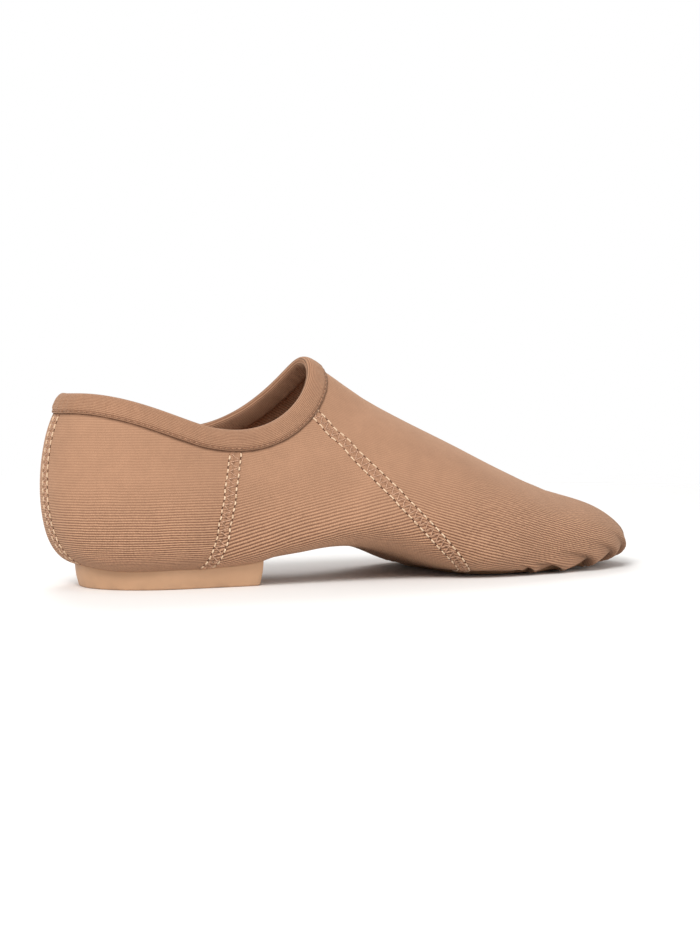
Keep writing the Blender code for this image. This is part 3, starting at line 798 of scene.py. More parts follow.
def suede_finish():
    """Brushed suede: short nap in streaks and clouds, a paler cut edge, and painted shade in the vent and
    stitch holes.
    """
    net = Finish("brushed_suede", 0.95, 0.35, SUEDE_SHEEN)
    place = net.object_place()
    streaks = net.add("ShaderNodeMapping", {"Vector": place, "Scale": (1.0, 0.45, 1.0)}).outputs[0]
    nap = net.noise(streaks, 900.0, detail=4.0, roughness=0.7)
    hair = net.noise(place, 4200.0, roughness=0.7)
    both = net.over(nap, 0.5, net.times(net.noise(place, 60.0, detail=3.0), 0.5))
    colour = net.mix(net.between(both, 0.30, 0.70), *SUEDE_TONES)
    colour = net.shaded(colour, net.over(hair, 0.5, 0.74))
    colour = net.mix(net.between(net.number("edge"), 0.2, 1.4, 0.35, 0.0), colour, SUEDE_EDGE)
    # Painted shade in the vent and stitch holes.
    colour = net.mix(net.number("hole"), colour, SUEDE_HOLE_SHADE)
    return net.done(colour, net.over(nap, 0.6, net.times(hair, 0.4)), 0.18)


def sock_finish():
    """Brushed cotton sock lining, pressed darker under the heel and the ball."""
    net = Finish("cotton_sock", 0.93, 0.3, SOCK_SHEEN)
    across, along, pressed = net.parts("sock")
    cloth = net.group(RIBBED_CLOTH, Across=across, Along=along, Pitch=0.7, Yarn=0.7)
    # Rib tone: painted shade in the rib hollows with uneven yarn.
    colour = net.mottled(net.mix(cloth["Tone"], *SOCK_TONES), 25.0, 0.14)
    return net.done(net.laid(colour, pressed, 0.4, SOCK_WORN), cloth["Height"], 0.1)


def thread_finish(name, tones):
    """Twisted sewing thread: fine bands of a darker and a paler ply."""
    net = Finish(name, 0.6, 0.2)
    inputs = {"Vector": net.object_place(), "Scale": 1500.0, "Distortion": 2.0}
    twist = net.add("ShaderNodeTexWave", inputs).outputs[1]
    return net.done(net.mottled(net.mix(twist, *tones), 120.0, 0.1), twist, 0.05)


def hole_shade_finish():
    """Dark shade in a needle hole, uneven from hole to hole."""
    net = Finish("hole_shade_paint", 0.95)
    net.varied("Base Color", net.mottled(NEEDLE_HOLE_SHADE, 300.0, 0.2))
    return net.material


# Upper
OUTER_ROWS, INNER_ROWS, COLUMNS = 250, 40, 340
ANGLES = turns(COLUMNS, -np.pi)
BOTTOM_COLUMN = COLUMNS // 2
EVEN_ROWS, EVEN_COLUMNS = 600, 48
# Ribs of the middle panel: their slant, the height of the lengthwise line that they turn about, and the
# radius, in mm.
MIDDLE_SLANT = np.radians(13.0)
MIDDLE_CORE, MIDDLE_RADIUS = 38.0, 34.0
BALL_ROW = 14.0
# Lengthwise ribs of the vamp: steps of the sum round a section, the least half size of a section and the half
# girth at the ball in mm, and the share of the loss of girth that closer ribs take up.
WAY_STEPS, TIP_HALF, BALL_HALF_GIRTH, DRAWN_TOGETHER = 24, 0.5, 100.0, 0.65
# Where the vamp's ribs of both sides meet under the toe they fade out, in mm from that line.
RIBS_FADE = (1.5, 8.0)
# Ribs are faint high up on the stretched canvas and full below, by height, and fainter on the folds.
RIBS_FAINT, RIBS_HEIGHTS, RIBS_LOST_IN_FOLDS = 0.18, (42.0 * MM, 13.0 * MM), 0.5
# Shade in the creases between folds: narrow half width, wide half width and its strength.
CREASE_NARROW, CREASE_WIDE, CREASE_WIDE_SHADE = 1.5, 4.0, 0.4
# Share of the folds' hollows that the inner skin follows, and a distance that is far from any seam, in mm.
INNER_FOLLOWS, FAR_FROM_SEAMS = 0.5, 50.0


def even_rows(count):
    """Row numbers whose widest step between neighbouring rings is about the same all along the tube."""
    rows = np.linspace(0, LAST_ROW, EVEN_ROWS)
    points = ring_points(*ring_grid(rows, turns(EVEN_COLUMNS, -np.pi)))
    walked = running_sum(np.linalg.norm(np.diff(points, axis=0), axis=2).max(axis=1))
    return np.interp(np.linspace(0, walked[-1], count), walked, rows)


def way_round(points):
    """Way round the foot in mm from the top line, positive on the outer side, in the section across the
    foot at each point, and what is left of it to the middle of the underside. The section is taken as an
    ellipse that is as wide and as high as all that lies ahead of the point, and the way is summed along it
    in equal turns. Towards the toe the cloth is drawn together: closer ribs take up most of the loss of
    girth, and ribs run off underneath."""
    flat = points.reshape(-1, 3) / MM
    order = np.argsort(-flat[:, 1], kind="stable")
    high = np.maximum.accumulate(flat[order], axis=0)
    low = np.minimum.accumulate(flat[order], axis=0)
    half = np.maximum((high - low) / 2, TIP_HALF)
    off = (flat[order] - (high + low) / 2) / half
    angle = np.arctan2(off[:, 0], off[:, 2])
    steps = (np.arange(WAY_STEPS) + 0.5) / WAY_STEPS

    def summed(end):
        turn = end[:, None] * steps
        return end * np.hypot(half[:, :1] * np.cos(turn), half[:, 2:] * np.sin(turn)).mean(axis=1)

    girth, found = summed(np.full_like(angle, np.pi)), summed(angle)
    way, left = np.empty(len(flat)), np.empty(len(flat))
    way[order] = found * (BALL_HALF_GIRTH / girth)**DRAWN_TOGETHER
    left[order] = girth - np.abs(found)
    return way.reshape(points.shape[:-1]), left.reshape(points.shape[:-1])


def rib_fields(points, row):
    """Rib places across and along in mm for the heel, middle and vamp panels. Heel: the way down the back
    at that height, and round the ring. Middle: the turn about a lengthwise line inside the foot and the way
    forward, both slanted. Vamp: the way round from the top line, and forward and down. Then, for the
    lining, the way from the top line round one ring at the ball and the way down the column, and the way
    left to the middle of the underside."""
    step = np.linalg.norm(np.diff(points, axis=1, append=points[:, :1]), axis=2)
    round_ring = np.cumsum(step, axis=1) - step
    from_bottom = (round_ring - round_ring[:, BOTTOM_COLUMN:BOTTOM_COLUMN + 1]) / MM
    ball = int(np.abs(row - BALL_ROW).argmin())
    girth = round_ring[ball, -1] + step[ball, -1]
    from_top = np.where(np.arange(COLUMNS) > BOTTOM_COLUMN, round_ring[ball] - girth, round_ring[ball])
    at_ball = np.broadcast_to(from_top, round_ring.shape) / MM
    back = points[:, BOTTOM_COLUMN]
    walked = way_along(back) / MM
    lowest = int(back[:len(back) // 2, 2].argmin())
    down = np.interp(points[..., 2], back[lowest::-1, 2], walked[lowest::-1])
    forward = points[..., 1] / MM
    turned = MIDDLE_RADIUS * np.arctan2(points[..., 0] + ORIGIN[0], MIDDLE_CORE * MM - points[..., 2])
    slant, straight = np.sin(MIDDLE_SLANT), np.cos(MIDDLE_SLANT)
    column = np.linalg.norm(np.diff(points, axis=0, prepend=points[:1]), axis=2).cumsum(axis=0) / MM
    way, left = way_round(points)
    across = (down, turned * straight - forward * slant, way)
    along = (from_bottom, turned * slant + forward * straight, forward - points[..., 2] / MM)
    return [np.stack(parts, axis=-1) for parts in (across, along, (at_ball, column, left))]


def build_upper(canvas, lining):
    """Outer skin with its relief and a plainer inner skin, joined at the collar and the lower opening."""
    outer_row, outer_angle = ring_grid(even_rows(OUTER_ROWS), ANGLES)
    points, down, turn, normal = bare_wall(outer_row, outer_angle)
    fields = seam_fields(points)
    outer = raised(points, normal, relief(outer_row, outer_angle, points, fields))
    inner_row, inner_angle = ring_grid(even_rows(INNER_ROWS), ANGLES)
    inside, down, turn, inner_normal = bare_wall(inner_row, inner_angle)
    hollow = np.minimum(pleat_relief(inner_row, inner_angle), 0)
    inner = inside - inner_normal * (CANVAS - INNER_FOLLOWS * hollow)[..., None]
    outer_ribs = rib_fields(points, outer_row[:, 0])
    inner_ribs = rib_fields(inside, inner_row[:, 0])
    height, beside, stands = pleat_folds(outer_row, outer_angle)
    creases = np.maximum(bell(beside, CREASE_NARROW), CREASE_WIDE_SHADE * bell(beside, CREASE_WIDE))
    stretched = RIBS_FAINT + (1 - RIBS_FAINT) * smooth(*RIBS_HEIGHTS, outer[..., 2])
    stretched *= 1 - RIBS_LOST_IN_FOLDS * stands
    stretched *= np.where(fields[..., 1] > 0, smooth(*RIBS_FADE, outer_ribs[2][..., 2]), 1.0)

    def skins(inward, outward):
        return np.concatenate((inward, outward[::-1]))

    rows = INNER_ROWS + OUTER_ROWS
    slots = np.where(np.arange(rows) < INNER_ROWS, 1, 0).repeat(COLUMNS)
    quads = grid_quads(rows, COLUMNS, True)
    piece = make_piece("upper_canvas", skins(inner, outer), quads, NO_TRIANGLES, (canvas, lining), slots)
    for name, inward, outward in zip(("ribs_across", "ribs_along", "columns"), inner_ribs, outer_ribs):
        add_field(piece, name, skins(inward, outward))
    add_field(piece, "stretched", skins(np.ones(inner_row.shape), stretched))
    add_field(piece, "valley", skins(np.zeros(inner_row.shape), np.sqrt(stands) * creases))
    add_field(piece, "seams", skins(np.full(inside.shape, FAR_FROM_SEAMS), fields))
    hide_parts("upper")


# Stitches
STITCH_STEPS, STITCH_SIDES = 7, 6
# How far the ends of a stitch dive, as a share of its lift, and how blunt they are.
STITCH_DIVE, STITCH_BLUNT = 1.9, 1.02
# Times that a line beside a seam is drawn to the canvas, and the share of the way taken each time.
SETTLE_TIMES, SETTLE_SHARE = 8, 0.7
# Threads of the two rows beside a seam, and threads that cross it, in mm.
ROW_RADIUS, ROW_LIFT = 0.31, 0.22
CROSS_PITCH, CROSS_REACH, CROSS_RADIUS, CROSS_LIFT = 1.5, 1.75, 0.17, 0.12
# Dark dome of painted shade in a needle hole: mm out and up of its two rings, the heights of its poles below
# and above them, and a direction that no hole faces.
HOLE_SIDES = 6
HOLE_SECTION = ((0.42, -0.12), (0.32, 0.09))
HOLE_POLES = (-0.16, 0.13)
HOLE_ASIDE = (0.3, 0.5, 0.8)
# Stitches keep this far below the topline, and off the sole pieces up to these heights, in mm.
BAND_CLEAR, HEEL_CLEAR, PATCH_CLEAR = 6.6, 25.0, 15.0
TOPLINE_STEPS = 300


def collar_height(points):
    """Height of the topline at the same distance forward."""
    angle = np.linspace(0, np.pi, TOPLINE_STEPS)
    line = ring_points(np.zeros_like(angle), angle) - ORIGIN
    return np.interp(points[..., 1], line[:, 1], line[:, 2])


def clear_of_band(points):
    """True below the binding and outside the two sole pieces."""
    height = points[..., 2]
    below = height < collar_height(points) - BAND_CLEAR * MM
    off_heel = outline_share(points, heel_outline, HEEL_CENTRE) > 1.0
    off_patch = outline_share(points, patch_outline, PATCH_CENTRE) > 1.0
    return below & (off_heel | (height > HEEL_CLEAR * MM)) & (off_patch | (height > PATCH_CLEAR * MM))


def beside_seam(line, offset):
    """A line beside a seam: the seam's places moved by an offset in mm square to the seam, then brought
    back to the canvas in a few steps along its two tangents."""
    row, angle = line
    points, down, turn, normal = bare_wall(row, angle)
    aside = np.cross(normal, np.gradient(points, axis=0))
    goal = points + aside * (offset * MM / np.linalg.norm(aside, axis=1, keepdims=True))
    for again in range(SETTLE_TIMES):
        sides = np.stack((down, turn), axis=-1)
        fall = np.swapaxes(sides, 1, 2)
        steps = SETTLE_SHARE * np.linalg.solve(fall @ sides, fall @ (goal - points)[..., None])[..., 0]
        row, angle = np.clip(row + steps[:, 0], 0, LAST_ROW), angle + steps[:, 1]
        points, down, turn, normal = bare_wall(row, angle)
    return row, angle


def thread_rings(spot, up, radius, lift):
    """Short round threads over rows of places on the cloth: the middle stands off by lift mm and the ends
    dive in. Returns grids of points, steps by sides, the two end points of each thread, and its needle
    holes with the way up."""
    across = np.linspace(-1, 1, STITCH_STEPS)
    path = spot + up * (lift * MM * (1 - STITCH_DIVE * across**4))[None, :, None]
    aside = unit(np.cross(np.gradient(path, axis=1), up))
    thick = radius * MM * np.sqrt(STITCH_BLUNT - across**6)[None, :, None, None]
    turn = -turns(STITCH_SIDES)[None, None, :, None]
    rings = path[:, :, None] + thick * (np.cos(turn) * aside[:, :, None] + np.sin(turn) * up[:, :, None])
    return rings, path[:, (0, -1)], spot[:, (0, -1)].reshape(-1, 3), up[:, (0, -1)].reshape(-1, 3)


def stitches(points, normals, pitch, length, radius, lift):
    """Stitches one after the other along a path, as many as fill it at about the given pitch in mm."""
    walked = way_along(points)
    count = max(1, round(walked[-1] / (pitch * MM)))
    middle = (np.arange(count)[:, None] + 0.5) * walked[-1] / count
    at = middle + np.linspace(-0.5, 0.5, STITCH_STEPS) * length * MM
    return thread_rings(columns_at(at, walked, points), unit(columns_at(at, walked, normals)), radius, lift)


def double_rows(line, pitch, length):
    """Both stitch rows of a seam, kept where they are clear of the other pieces."""
    rows = []
    for side in SIDES:
        points, down, turn, normal = canvas_wall(*beside_seam(line, side * SEAM_HALF_GAP))
        kept = clear_of_band(points)
        rows.append(stitches(points[kept], normal[kept], pitch, length, ROW_RADIUS, ROW_LIFT))
    return rows


def cross_threads(line):
    """Threads that run to and fro over a seam between its two stitch rows, kept where they are clear of the
    other pieces."""
    walked = way_along(bare_wall(*line)[0])
    count = round(walked[-1] / (CROSS_PITCH * MM))
    at = np.linspace(0, walked[-1], count + 1)
    one, other = (columns_at(at, walked, np.column_stack(beside_seam(line, side * CROSS_REACH))).T
                  for side in SIDES)
    even = np.arange(count) % 2 == 0
    start, end = np.where(even, one[:, :-1], other[:, :-1]), np.where(even, other[:, 1:], one[:, 1:])
    row, angle = start[..., None] + (end - start)[..., None] * np.linspace(0, 1, STITCH_STEPS)
    spot, down, turn, up = canvas_wall(row, angle)
    kept = clear_of_band(spot).all(axis=1)
    return thread_rings(spot[kept], up[kept], CROSS_RADIUS, CROSS_LIFT)


def build_thread(name, groups, material):
    """One piece from several rows of stitches, every stitch closed at both ends."""
    rings, poles = (np.concatenate(parts) for parts in list(zip(*groups))[:2])
    closed_shapes(name, rings, poles, material)


def build_hole_shades(name, groups, material):
    """Painted shade in the needle holes at the ends of stitches: low dark domes on the cloth, each two rings
    and two poles.
    """
    spots, ups = (np.concatenate(parts)[:, None] for parts in list(zip(*groups))[2:])
    aside = unit(np.cross(ups, HOLE_ASIDE))
    turn = turns(HOLE_SIDES)[None, :, None]
    flat = np.cos(turn) * aside + np.sin(turn) * np.cross(ups, aside)
    rings = [spots + MM * (out * flat + high * ups) for out, high in HOLE_SECTION]
    poles = [spots + MM * high * ups for high in HOLE_POLES]
    closed_shapes(name, np.stack(rings, axis=1), np.concatenate(poles, axis=1), material)


# Sole pieces
# Map of the canvas underside: cells, half sizes in cells, rows of cells spread past its edges, the grid of
# points that fills it, and how far a point faces down.
MAP_CELL = 1.0 * MM
MAP_HALVES = np.array((60, 130))
MAP_SPREAD = 8
MAP_FIRST_ROW, MAP_ROWS, MAP_COLUMNS = 2.0, 620, 900
FACING_DOWN = -0.35
OPENING_LEVEL = 1.5 * MM


def underside_map():
    """Heights of the canvas underside over a grid of 1 mm cells: the mean of the downward-facing points in
    each cell, spread outwards a little past its edges, with the rest of the opening under the forefoot at
    its own level. Folds and creases are in it, seams are not."""
    row, angle = ring_grid(np.linspace(MAP_FIRST_ROW, LAST_ROW, MAP_ROWS), turns(MAP_COLUMNS, -np.pi))
    points, down, turn, normal = bare_wall(row, angle)
    points = raised(points, normal, fold_relief(row, angle, points))[normal[..., 2] < FACING_DOWN]
    size = tuple(2 * MAP_HALVES)
    cell = np.floor(points[:, :2] / MAP_CELL).astype(int) + MAP_HALVES
    flat = np.ravel_multi_index(cell.T, size)
    total = np.bincount(flat, points[:, 2], size[0] * size[1]).reshape(size)
    count = np.bincount(flat, None, size[0] * size[1]).reshape(size)
    height, known = total / np.maximum(count, 1), (count > 0).astype(float)
    for again in range(MAP_SPREAD):
        around, beside = (sum(np.roll(values, way, axis) for axis in (0, 1) for way in (1, -1))
                          for values in (known, height * known))
        height = np.where(known > 0, height, beside / np.maximum(around, 1))
        known = np.maximum(known, around > 0)
    return np.where(known > 0, height, OPENING_LEVEL)


UNDERSIDE = underside_map()


def under_canvas(places):
    """Height of the canvas underside above places on the floor, blended between the four nearest cells."""
    at = places / MAP_CELL + MAP_HALVES - 0.5
    cell = np.floor(at).astype(int)
    right, ahead = np.moveaxis(at - cell, -1, 0)
    x, y = np.moveaxis(cell, -1, 0)
    near = UNDERSIDE[x, y] * (1 - right) + UNDERSIDE[x + 1, y] * right
    far = UNDERSIDE[x, y + 1] * (1 - right) + UNDERSIDE[x + 1, y + 1] * right
    return near * (1 - ahead) + far * ahead


class Plate:
    """A closed plate as loops from its hidden top over the edge to near its middle underneath: each loop is
    an outline drawn in towards its centre by a number of mm, at a height, with two marks for the material."""

    def __init__(self, outline, centre, columns):
        self.outline, self.centre, self.columns = outline(turns(columns)), centre, columns
        self.reach = np.linalg.norm(self.outline, axis=1, keepdims=True) / MM
        self.loops, self.marks = [], []

    def drawn_in(self, inward):
        """Places of a loop in the frame."""
        return self.outline * (1 - inward / self.reach) + self.centre

    def add(self, inward, height, *marks):
        """One more loop."""
        level = np.broadcast_to(height, self.columns)
        self.loops.append(np.column_stack((self.drawn_in(inward), level)))
        self.marks.append([np.broadcast_to(mark, self.columns) for mark in marks])

    def add_top(self, insets, lift, marks):
        """Loops of the hidden top, set into the canvas by lift mm."""
        for inward in insets:
            self.add(inward, under_canvas(self.drawn_in(inward)) + lift * MM, *marks)

    def piece(self, name, material, marks):
        """The plate as one piece, with a point at either end, where each mark has values of its own."""
        loops = np.array(self.loops)
        poles = loops[(0, -1), :].mean(axis=1)
        piece = closed_shapes(name, loops[None], poles[None], material)
        for (label, at_ends), values in zip(marks.items(), np.array(self.marks).transpose(1, 0, 2)):
            add_field(piece, label, np.append(values, at_ends))
        return piece


# Heel block, in mm: columns, loops of the tread and the share of the way in that they go, loops of the hidden
# top and how far they and the rim reach into the canvas, the wall's draft, bow and steps, the edge's radius
# and steps
HEEL_COLUMNS, HEEL_RINGS, HEEL_MIDDLE = 520, 84, 0.985
HEEL_TOP, HEEL_TOP_LIFT, HEEL_RIM_LIFT = (12.0, 6.0, 3.0, 1.5, 0.5), 0.25, 0.15
HEEL_DRAFT, HEEL_BOW, HEEL_WALL = 1.2, 0.25, np.linspace(0.08, 1.0, 14)
HEEL_ROUND, HEEL_TURNS = 0.9, np.linspace(0.15, 1.0, 7) * np.pi / 2
# Turns of the rounded edge between which it takes on the tread's colour.
TREAD_TURNS = (0.8, 1.5)
# Dimples of the tread: pitch and depth, the sum of waves over which they sink, and the plain margin.
DIMPLE_PITCH, DIMPLE_DEPTH = 1.75, 0.26
DIMPLE_WAVES, DIMPLE_MARGIN = (0.1, 1.6), (0.2, 1.2)


def dimples(places):
    """Staggered round dimples, where two waves at right angles, 45 degrees to the block, rise together."""
    x, y = np.moveaxis(places, -1, 0) / MM
    tight = 2 * np.pi / (DIMPLE_PITCH * np.sqrt(2))
    return smooth(*DIMPLE_WAVES, np.cos(tight * (x + y)) + np.cos(tight * (x - y)))


def build_heel(material):
    """Heel block: the hidden top follows the canvas, the wall draws in downwards to a rounded edge and a
    flat dimpled tread."""
    plate = Plate(heel_outline, HEEL_CENTRE, HEEL_COLUMNS)
    plate.add_top(HEEL_TOP, HEEL_TOP_LIFT, (0.0, 0.0))
    plate.add_top((0.0,), HEEL_RIM_LIFT, (0.0, 0.0))
    top, foot = plate.loops[-1][:, 2], HEEL_ROUND * MM
    for share in HEEL_WALL:
        inward = HEEL_DRAFT * share - HEEL_BOW * np.sin(np.pi * share)
        plate.add(inward, top + (foot - top) * share, 0.0, 0.0)
    for turn in HEEL_TURNS:
        inward = HEEL_DRAFT + HEEL_ROUND * (1 - np.cos(turn))
        plate.add(inward, foot * (1 - np.sin(turn)), smooth(*TREAD_TURNS, turn), 0.0)
    edge = HEEL_DRAFT + HEEL_ROUND
    for share in np.linspace(0, 1, HEEL_RINGS)[1:]:
        inward = edge + (HEEL_MIDDLE * plate.reach - edge) * share
        sunk = dimples(plate.drawn_in(inward) - HEEL_CENTRE) * smooth(*DIMPLE_MARGIN, inward - edge)[:, 0]
        plate.add(inward, sunk * DIMPLE_DEPTH * MM, 1.0, sunk)
    piece = plate.piece("heel_rubber_block", material, {"tread": (0.0, 1.0), "dimple": (0.0, 0.0)})
    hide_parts("heel_block")


# Forefoot patch, in mm: columns, loops of the lower face and the share of the way in that they go, loops of
# the hidden top and how far they and the rim reach into the canvas, the rounded edge's height and width, and
# the steps of the wall and the edge
PATCH_COLUMNS, PATCH_RINGS, PATCH_MIDDLE = 560, 104, 0.958
PATCH_TOP, PATCH_TOP_LIFT, PATCH_RIM_LIFT = (8.0, 4.0, 2.0, 0.8, 0.15), 0.2, 0.1
PATCH_EDGE_HIGH, PATCH_EDGE_WIDE = 0.75, 0.95
PATCH_WALL, PATCH_EDGE = np.linspace(0, 1, 6)[1:], np.linspace(0.06, 0.9, 7)
# Stitch row: how far in it lies, and the pitch, length, radius and lift of its stitches.
PATCH_STITCH_IN, PATCH_STITCH = 3.8, (4.3, 3.4, 0.36, 0.12)
PATCH_ROW_STEPS = 12
# Height of the thread above the lower face, at the back edge and, more sunk into the nap, at the sides and
# front, and where it changes, ahead of the patch's centre.
PATCH_THREAD_BACK, PATCH_THREAD_FRONT = 0.42, 0.60
PATCH_THREAD_CHANGE = (-24.0 * MM, -12.0 * MM)
# Margin outside the stitches (height, where it rises), channel (depth, half width), stitch holes (depth,
# rim, shade).
MARGIN_HIGH, MARGIN_RISE = 0.30, (PATCH_STITCH_IN + 1.0, 0.5)
CHANNEL_DEPTH, CHANNEL_HALF = 0.22, 0.55
HOLE_DEPTH, HOLE_RIM, HOLE_SHADE = 0.55, (0.80, 0.36), 0.9
# Loops whose depth overlaps this range are measured from the stitch row, and others count as far from it.
NEAR_ROW, FAR_FROM_ROW = (2.0, 7.5), 9.0
# Vent holes: mm ahead of the patch's centre and number in each row, their step, rim and depth.
VENT_ROWS = ((-12.0, 4), (-4.0, 5), (4.0, 4), (12.0, 5), (20.0, 4))
VENT_STEP, VENT_RIM, VENT_DEPTH = 8.0, (0.72, 0.38), 0.85


def vent_places():
    """Vent holes in staggered rows across the patch, each row centred, in the frame."""
    rows = []
    for forward, count in VENT_ROWS:
        across = (np.arange(count) - (count - 1) / 2) * VENT_STEP
        rows.append(np.column_stack((across, np.full(count, forward))))
    return np.concatenate(rows) * MM + PATCH_CENTRE


def patch_row():
    """Places of the stitch row: the outline moved in square to itself, in even steps, in the frame."""
    edge = patch_outline(np.linspace(0, 2 * np.pi, OUTLINE_STEPS))
    ahead = np.gradient(edge, axis=0)
    ahead[0] = ahead[-1] = edge[1] - edge[-2]
    inward = unit(np.stack((-ahead[:, 1], ahead[:, 0]), axis=1))
    inward *= -np.sign((inward * edge).sum(axis=1, keepdims=True))
    row = edge + inward * PATCH_STITCH_IN * MM + PATCH_CENTRE
    walked = way_along(row)
    count = round(walked[-1] / (PATCH_STITCH[0] * MM))
    return columns_at(np.linspace(0, walked[-1], count * PATCH_ROW_STEPS + 1), walked, row)


def nearest(places, spots):
    """Distance in mm of each place from the nearest spot."""
    return least(places, lambda part: np.linalg.norm(part[:, None] - spots, axis=2)) / MM


def patch_bottom(places):
    """Height of the patch's lower face: one thickness under the canvas, pressed flat on the floor."""
    return np.maximum(under_canvas(places) - SUEDE, 0.0)


def build_patch(material):
    """Suede patch: the hidden top lies against the canvas, the edge is rounded, and the lower face has a
    stitch channel, stitch holes, vent holes and a margin that turns up towards the edge."""
    plate = Plate(patch_outline, PATCH_CENTRE, PATCH_COLUMNS)
    row, vents = patch_row(), vent_places()
    plate.add_top(PATCH_TOP, PATCH_TOP_LIFT, (0.0, 0.0))
    rim = plate.drawn_in(0.0)
    top, foot = under_canvas(rim) + PATCH_RIM_LIFT * MM, patch_bottom(rim) + PATCH_EDGE_HIGH * MM
    for share in PATCH_WALL:
        plate.add(0.0, top + (foot - top) * share, 0.0, 0.0)
    insets = [np.full_like(plate.reach, inset) for inset in PATCH_EDGE]
    for share in np.linspace(0, PATCH_MIDDLE, PATCH_RINGS):
        insets.append(PATCH_EDGE_WIDE + (plate.reach - PATCH_EDGE_WIDE) * share)
    for inward in insets:
        places, depth = plate.drawn_in(inward), inward[:, 0]
        left = 1 - np.minimum(depth / PATCH_EDGE_WIDE, 1)
        curl = PATCH_EDGE_HIGH * (1 - np.sqrt(np.clip(1 - left**2, 0, 1)))
        row_away, stitch_hole = np.full(PATCH_COLUMNS, FAR_FROM_ROW), np.zeros(PATCH_COLUMNS)
        if depth.min() < NEAR_ROW[1] and depth.max() > NEAR_ROW[0]:
            row_away = nearest(places, row[::2])
            stitch_hole = smooth(*HOLE_RIM, nearest(places, row[:-1:PATCH_ROW_STEPS]))
        vent = smooth(*VENT_RIM, nearest(places, vents))
        lift = curl + MARGIN_HIGH * smooth(*MARGIN_RISE, depth)
        lift += CHANNEL_DEPTH * bell(row_away, CHANNEL_HALF) + HOLE_DEPTH * stitch_hole + VENT_DEPTH * vent
        # Painted shade in the vent and stitch holes, kept in the hole field.
        dark = np.maximum(vent, HOLE_SHADE * stitch_hole)
        plate.add(inward, patch_bottom(places) + lift * MM, depth, dark)
    piece = plate.piece("patch_suede", material, {"edge": (0.0, 30.0), "hole": (0.0, 0.0)})
    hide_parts("forefoot_patch")


def patch_stitches():
    """Stitches lying in the patch's channel, facing the floor, one between each pair of holes."""
    row = patch_row()
    ahead = smooth(*PATCH_THREAD_CHANGE, row[:, 1] - PATCH_CENTRE[1])
    sunk = PATCH_THREAD_BACK + (PATCH_THREAD_FRONT - PATCH_THREAD_BACK) * ahead
    points = np.column_stack((row, patch_bottom(row) + sunk * MM))
    return stitches(points, np.tile((0.0, 0.0, -1.0), (len(points), 1)), *PATCH_STITCH)


# Insole: points across a station, then across and along the surface, how far the loops crowd at heel and
# toe, and the rounded sides in mm and in shares of the half width
SOCK_ACROSS, SOCK_WIDE, SOCK_LONG = 7, 36, 150
SOCK_CROWD, SOCK_SOFT, SOCK_RIM = 0.9, 0.5, (0.0, 0.12)
# Pressed places: mm out and forward of the heel, then half widths across and along.
SOCK_PRESSED = ((0.0, 38.0, 20.0, 26.0), (-2.0, 178.0, 30.0, 26.0))


def build_insole(material):
    """Sock lining: a closed cubic surface through the insole's stations, heel to toe, its sides rounded."""
    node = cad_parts["insole"].data
    flat = np.empty(len(node.vertices) * 3)
    node.vertices.foreach_get("co", flat)
    corners = np.unique(flat.reshape(-1, 3).round(5), axis=0)
    corners = corners[np.lexsort((corners[:, 2], corners[:, 0], corners[:, 1]))]
    forward, first = np.unique(corners[:, 1], return_index=True)
    place = np.linspace(0, 1, SOCK_ACROSS)
    low, top = np.empty((2, len(forward), SOCK_ACROSS, 3))
    for number, station in enumerate(np.split(corners, first[1:])):
        across = station[0, 0] + (station[-1, 0] - station[0, 0]) * place
        for face, start in ((low, 0), (top, 1)):
            height = np.interp(across, station[start::2, 0], station[start::2, 2])
            face[number] = np.column_stack((across, np.full(SOCK_ACROSS, forward[number]), height))
    shares = np.linspace(0, 1, SOCK_LONG)
    crowded = shares - SOCK_CROWD * np.sin(2 * np.pi * shares) / (2 * np.pi)
    stations = forward[0] + (forward[-1] - forward[0]) * crowded
    dense = np.linspace(0, 1, SOCK_WIDE)

    def surface(grid):
        long_way = spline(forward, grid.reshape(len(forward), -1), stations)
        turned = long_way.reshape(SOCK_LONG, SOCK_ACROSS, 3).transpose(1, 0, 2).reshape(SOCK_ACROSS, -1)
        return spline(place, turned, dense).reshape(SOCK_WIDE, SOCK_LONG, 3).transpose(1, 0, 2)

    upper_face, lower_face = surface(top), surface(low)
    upper_face[..., 2] -= SOCK_SOFT * MM * (1 - smooth(*SOCK_RIM, np.minimum(dense, 1 - dense) * 2))
    loops = np.concatenate((upper_face, lower_face[:, ::-1]), axis=1)
    count = 2 * SOCK_WIDE
    across = np.arange(SOCK_WIDE - 1)
    end = np.stack((across, count - 1 - across, count - 2 - across, across + 1), axis=1)
    quads = np.concatenate((grid_quads(SOCK_LONG, count), end, end[:, ::-1] + (SOCK_LONG - 1) * count))
    piece = make_piece("sock_lining", loops, quads, NO_TRIANGLES, (material,))
    x, y = loops[..., 0], loops[..., 1]
    pressed = np.zeros_like(x)
    for out, ahead, half_wide, half_long in SOCK_PRESSED:
        centre = from_heel(out, ahead, 0.0)
        spot = bell(x - centre[0], half_wide * MM) * bell(y - centre[1], half_long * MM)
        pressed = np.maximum(pressed, spot)
    add_field(piece, "sock", np.stack((x / MM, y / MM, pressed), axis=-1))
    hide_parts("insole")


# Collar binding
BAND_COLUMNS, BAND_STEPS = 420, 44
# Folded band in section: mm down from the edge and mm out from the outer face of the canvas.
BAND_SECTION = np.array((
    (7.0, -0.5), (7.12, 0.2), (6.95, 0.62), (6.6, 0.7), (6.3, 0.6), (5.8, 0.92), (4.2, 1.35), (2.4, 1.45),
    (0.9, 1.25), (-0.2, 0.85), (-0.9, 0.1), (-1.1, -0.75), (-0.9, -1.55), (-0.2, -2.25), (0.9, -2.52),
    (2.4, -2.6), (4.2, -2.58), (5.8, -2.5), (6.8, -2.2), (7.0, -1.6), (7.0, -0.5),
))
BAND_MIDDLE = -0.75
# Small waves of the band: height, two numbers of waves round the collar, and where they set in down the band.
BAND_WAVE, BAND_WAVES, BAND_WAVE_START = 0.16, (41, 17), (-0.5, 3.0)
